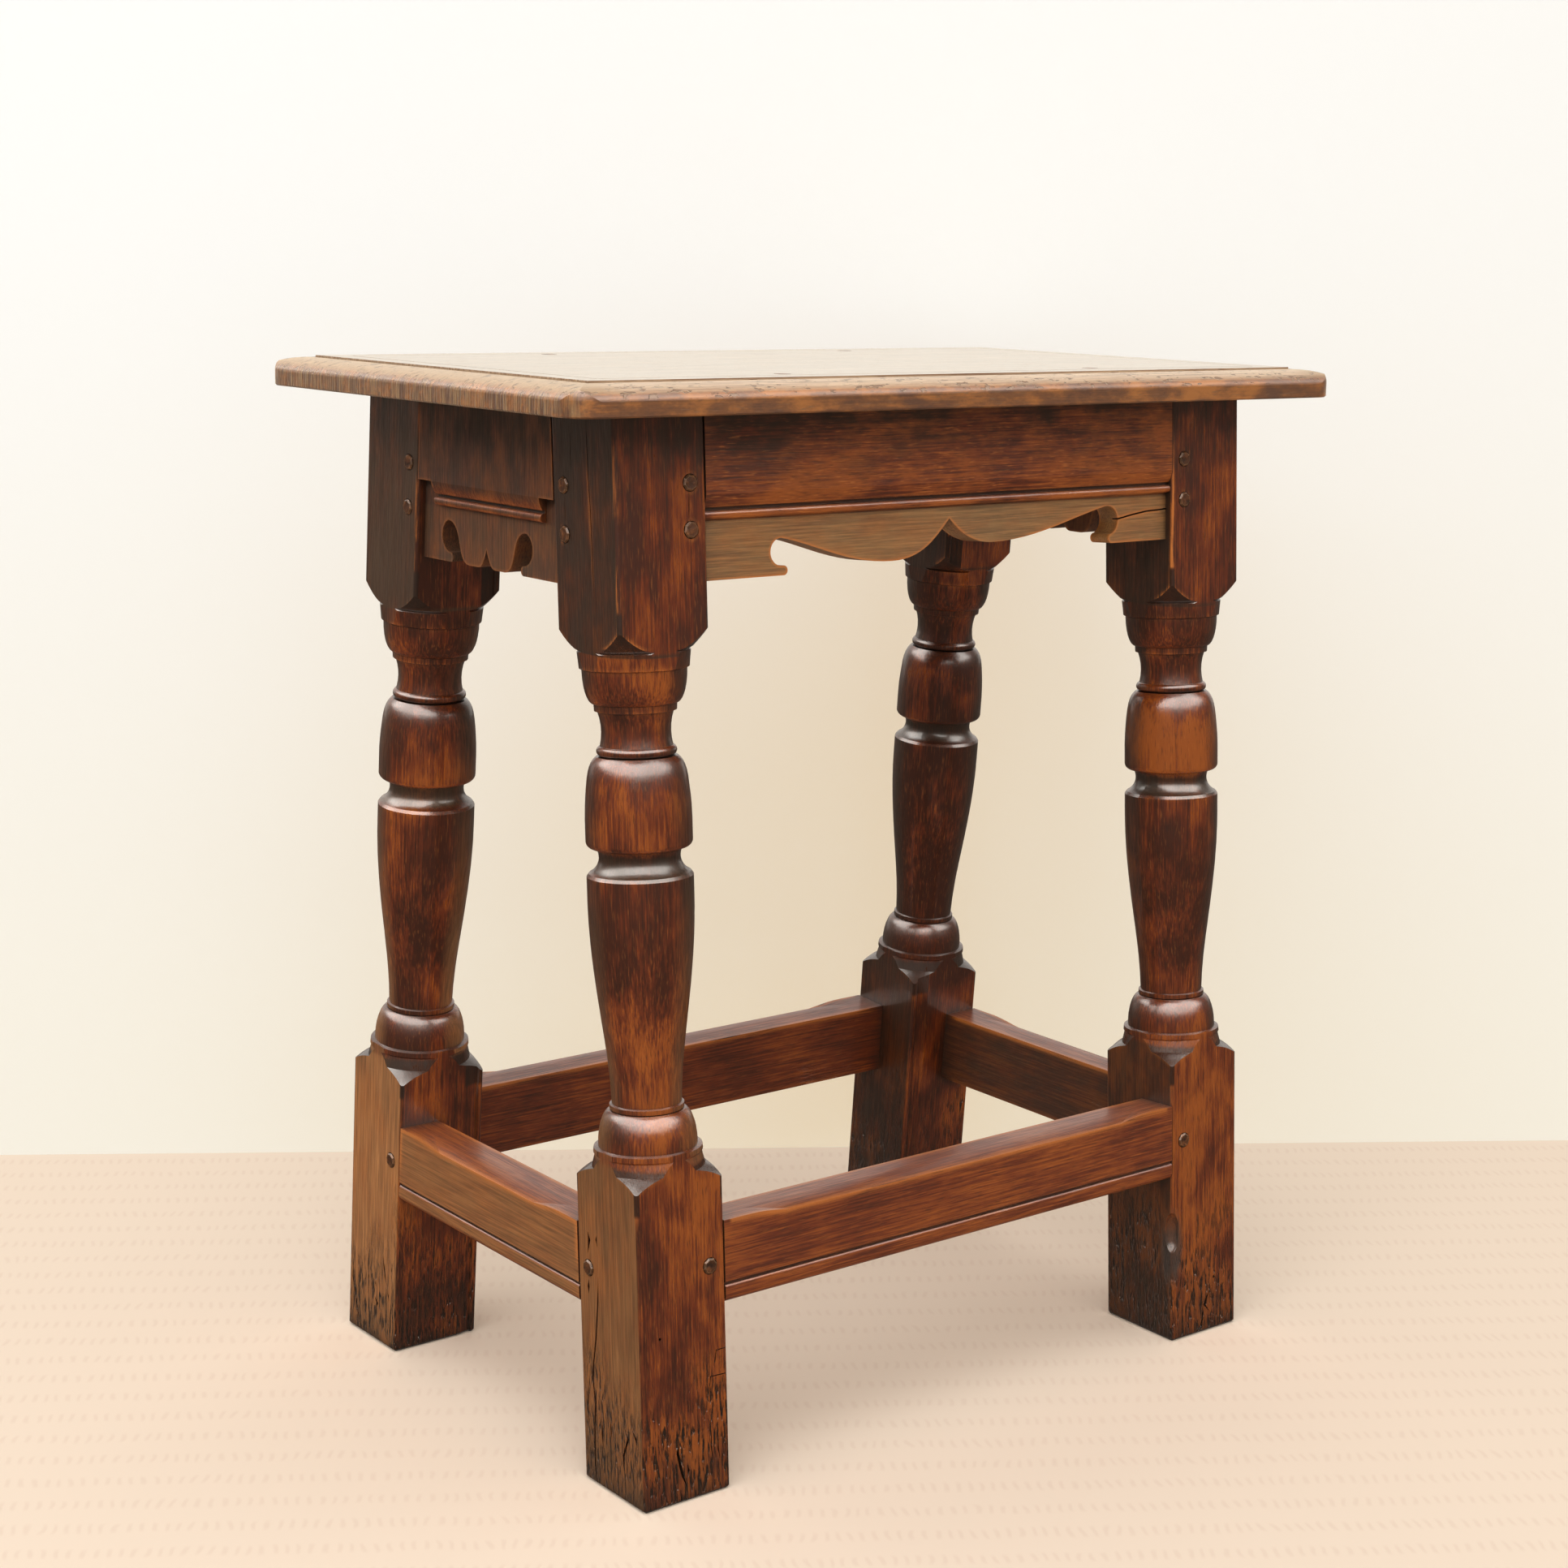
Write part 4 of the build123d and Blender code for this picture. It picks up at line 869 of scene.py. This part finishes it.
def wall_paint(stage):
    """Matt emulsion on plaster. It is there only from the front and only to the eye, so the stool's back stays lit."""
    material = new_material("Matt emulsion")
    tree = material.node_tree
    camera_ray = add(tree, "LightPath", out="Is Camera Ray")
    back = add(tree, "NewGeometry", out="Backfacing")
    shown = add(tree, "Math", {0: camera_ray, 1: back}, operation="SUBTRACT", use_clamp=True)
    paint = add(tree, "BsdfDiffuse", {"Color": rgba(stage.wall)})
    height = add(tree, "SeparateXYZ", {0: add(tree, "TexCoord", out="Object")}, out="Z")
    warmth = add(tree, "MapRange", {"Value": height, **between(0.0, WALL_FOOT_HEIGHT)}, **EASED)
    warmth = add(tree, "Mix", {0: warmth, 6: rgba(stage.wall_foot), 7: rgba(stage.wall_glow)}, **COLOURS)
    glow = add(tree, "Emission", {"Color": warmth, "Strength": stage.glow_level})
    paint = add(tree, "AddShader", {0: paint, 1: glow})
    shader = add(tree, "MixShader", {0: shown, 1: add(tree, "BsdfTransparent"), 2: paint})
    add(tree, "OutputMaterial", {"Surface": shader})
    return material


def studio_light(stage, toward_wall):
    """Even light from all round. The polish reflects the pale wall, and a wide window high up in a dim room."""
    world = bpy.data.worlds.new("Studio")
    world.use_nodes = True
    tree = world.node_tree
    tree.nodes.clear()
    outward = add(tree, "TexCoord", out="Generated")
    up = add(tree, "SeparateXYZ", {0: outward}, out="Z")
    rise = add(tree, "MapRange", {"Value": up, **between(0.0, 0.9)}, **EASED)
    tint = add(tree, "Mix", {0: rise, 6: rgba(stage.horizon), 7: rgba(stage.zenith)}, **COLOURS)
    even = add(tree, "Mix", {0: rise, 2: stage.horizon_level, 3: stage.zenith_level})
    wall = add(tree, "VectorMath", {0: outward, 1: tuple(toward_wall)}, out="Value", operation="DOT_PRODUCT")
    wall = {"Value": wall, **between(0.5, 0.85), "To Min": stage.room_level, "To Max": 1.0}
    wall = add(tree, "MapRange", wall, **EASED)
    side = add(tree, "VectorMath", {0: outward, 1: WINDOW_SIDE}, out="Value", operation="DOT_PRODUCT")
    side = add(tree, "MapRange", {"Value": side, **between(-0.55, -0.10)}, **EASED)
    sill = add(tree, "MapRange", {"Value": up, **between(0.28, 0.50)}, **EASED)
    head = add(tree, "MapRange", {"Value": up, **between(0.99, 0.94), "To Min": 0.12})
    window = overlap(tree, sill, side, head)
    polish = add(tree, "Math", {0: window, 1: stage.window_level, 2: wall}, operation="MULTIPLY_ADD")
    reflected = add(tree, "LightPath", out="Is Glossy Ray")
    strength = add(tree, "Mix", {0: reflected, 2: even, 3: polish})
    shader = add(tree, "Background", {"Color": tint, "Strength": strength})
    add(tree, "OutputWorld", {"Surface": shader})
    return world


def soft_box(stage):
    """A square soft box. Its level is what it adds to the brightness of a white sheet that faces it at the stool."""
    data = bpy.data.lights.new("Soft box", "AREA")
    data.size = stage.lamp_width
    aim = Vector(SOFT_BOX_TARGET) - Vector(SOFT_BOX_PLACE)
    # A small lamp of radiance L gives a white sheet the brightness L * area / (pi * distance squared), and its
    # power is L * area * pi.
    data.energy = stage.lamp_level * math.pi**2 * aim.length**2
    data.color = stage.lamp
    lamp = bpy.data.objects.new("Soft box", data)
    lamp.location = SOFT_BOX_PLACE
    lamp.rotation_euler = aim.to_track_quat("-Z", "Y").to_euler()
    bpy.context.scene.collection.objects.link(lamp)


class STOOL_OT_stage(Operator):
    """Sets the floor, the wall, the lamps and the camera"""

    bl_idname = "stool.stage"
    bl_label = "Stage"

    def execute(self, context):
        scene = context.scene
        stage = scene.stool_stage
        sin_turn, cos_turn = math.sin(stage.wall_turn), math.cos(stage.wall_turn)
        ahead = Vector((sin_turn, cos_turn, 0))
        across = Vector((cos_turn, -sin_turn, 0))
        sheet("Floor", STAGE_WIDTH, STAGE_WIDTH, Matrix.Identity(4), floor_cloth(stage))
        upright = Matrix((across, Vector((0, 0, 1)), -ahead)).transposed().to_4x4()
        upright.translation = ahead * stage.wall_distance + Vector((0, 0, WALL_HEIGHT / 2))
        sheet("Wall", STAGE_WIDTH, WALL_HEIGHT, upright, wall_paint(stage))
        scene.world = studio_light(stage, ahead)
        soft_box(stage)
        scene.view_settings.view_transform = "Standard"
        new_camera(scene)
        return {"FINISHED"}


# ---- The add-on --------------------------------------------------------------------------------


class STOOL_PT_sidebar(Panel):
    """Lists the stool's pieces and its stage"""

    bl_idname = "STOOL_PT_sidebar"
    bl_label = "Joint Stool"
    bl_space_type = "VIEW_3D"
    bl_region_type = "UI"
    bl_category = "Joint Stool"

    def draw(self, context):
        scene = context.scene
        for operator in OPERATORS:
            self.layout.operator(operator.bl_idname)
        for name in SETTINGS:
            box = self.layout.box()
            group = getattr(scene, name)
            for key in group.__annotations__:
                box.prop(group, key)


OPERATORS = (STOOL_OT_seat, STOOL_OT_legs, STOOL_OT_aprons, STOOL_OT_stretchers, STOOL_OT_pegs, STOOL_OT_stage)
SETTINGS = {
    "stool_frame_finish": FrameFinish,
    "stool_seat_finish": SeatFinish,
    "stool_peg_finish": PegFinish,
    "stool_stage": StageSettings,
}


def register():
    for item in (*SETTINGS.values(), *OPERATORS, STOOL_PT_sidebar):
        bpy.utils.register_class(item)
    for name, group in SETTINGS.items():
        setattr(bpy.types.Scene, name, PointerProperty(type=group))


def unregister():
    for name in SETTINGS:
        delattr(bpy.types.Scene, name)
    for item in (STOOL_PT_sidebar, *reversed(OPERATORS), *reversed(tuple(SETTINGS.values()))):
        bpy.utils.unregister_class(item)


def main():
    register()
    for piece in ("seat", "legs", "aprons", "stretchers", "pegs", "stage"):
        getattr(bpy.ops.stool, piece)()


if __name__ == "__main__":
    main()
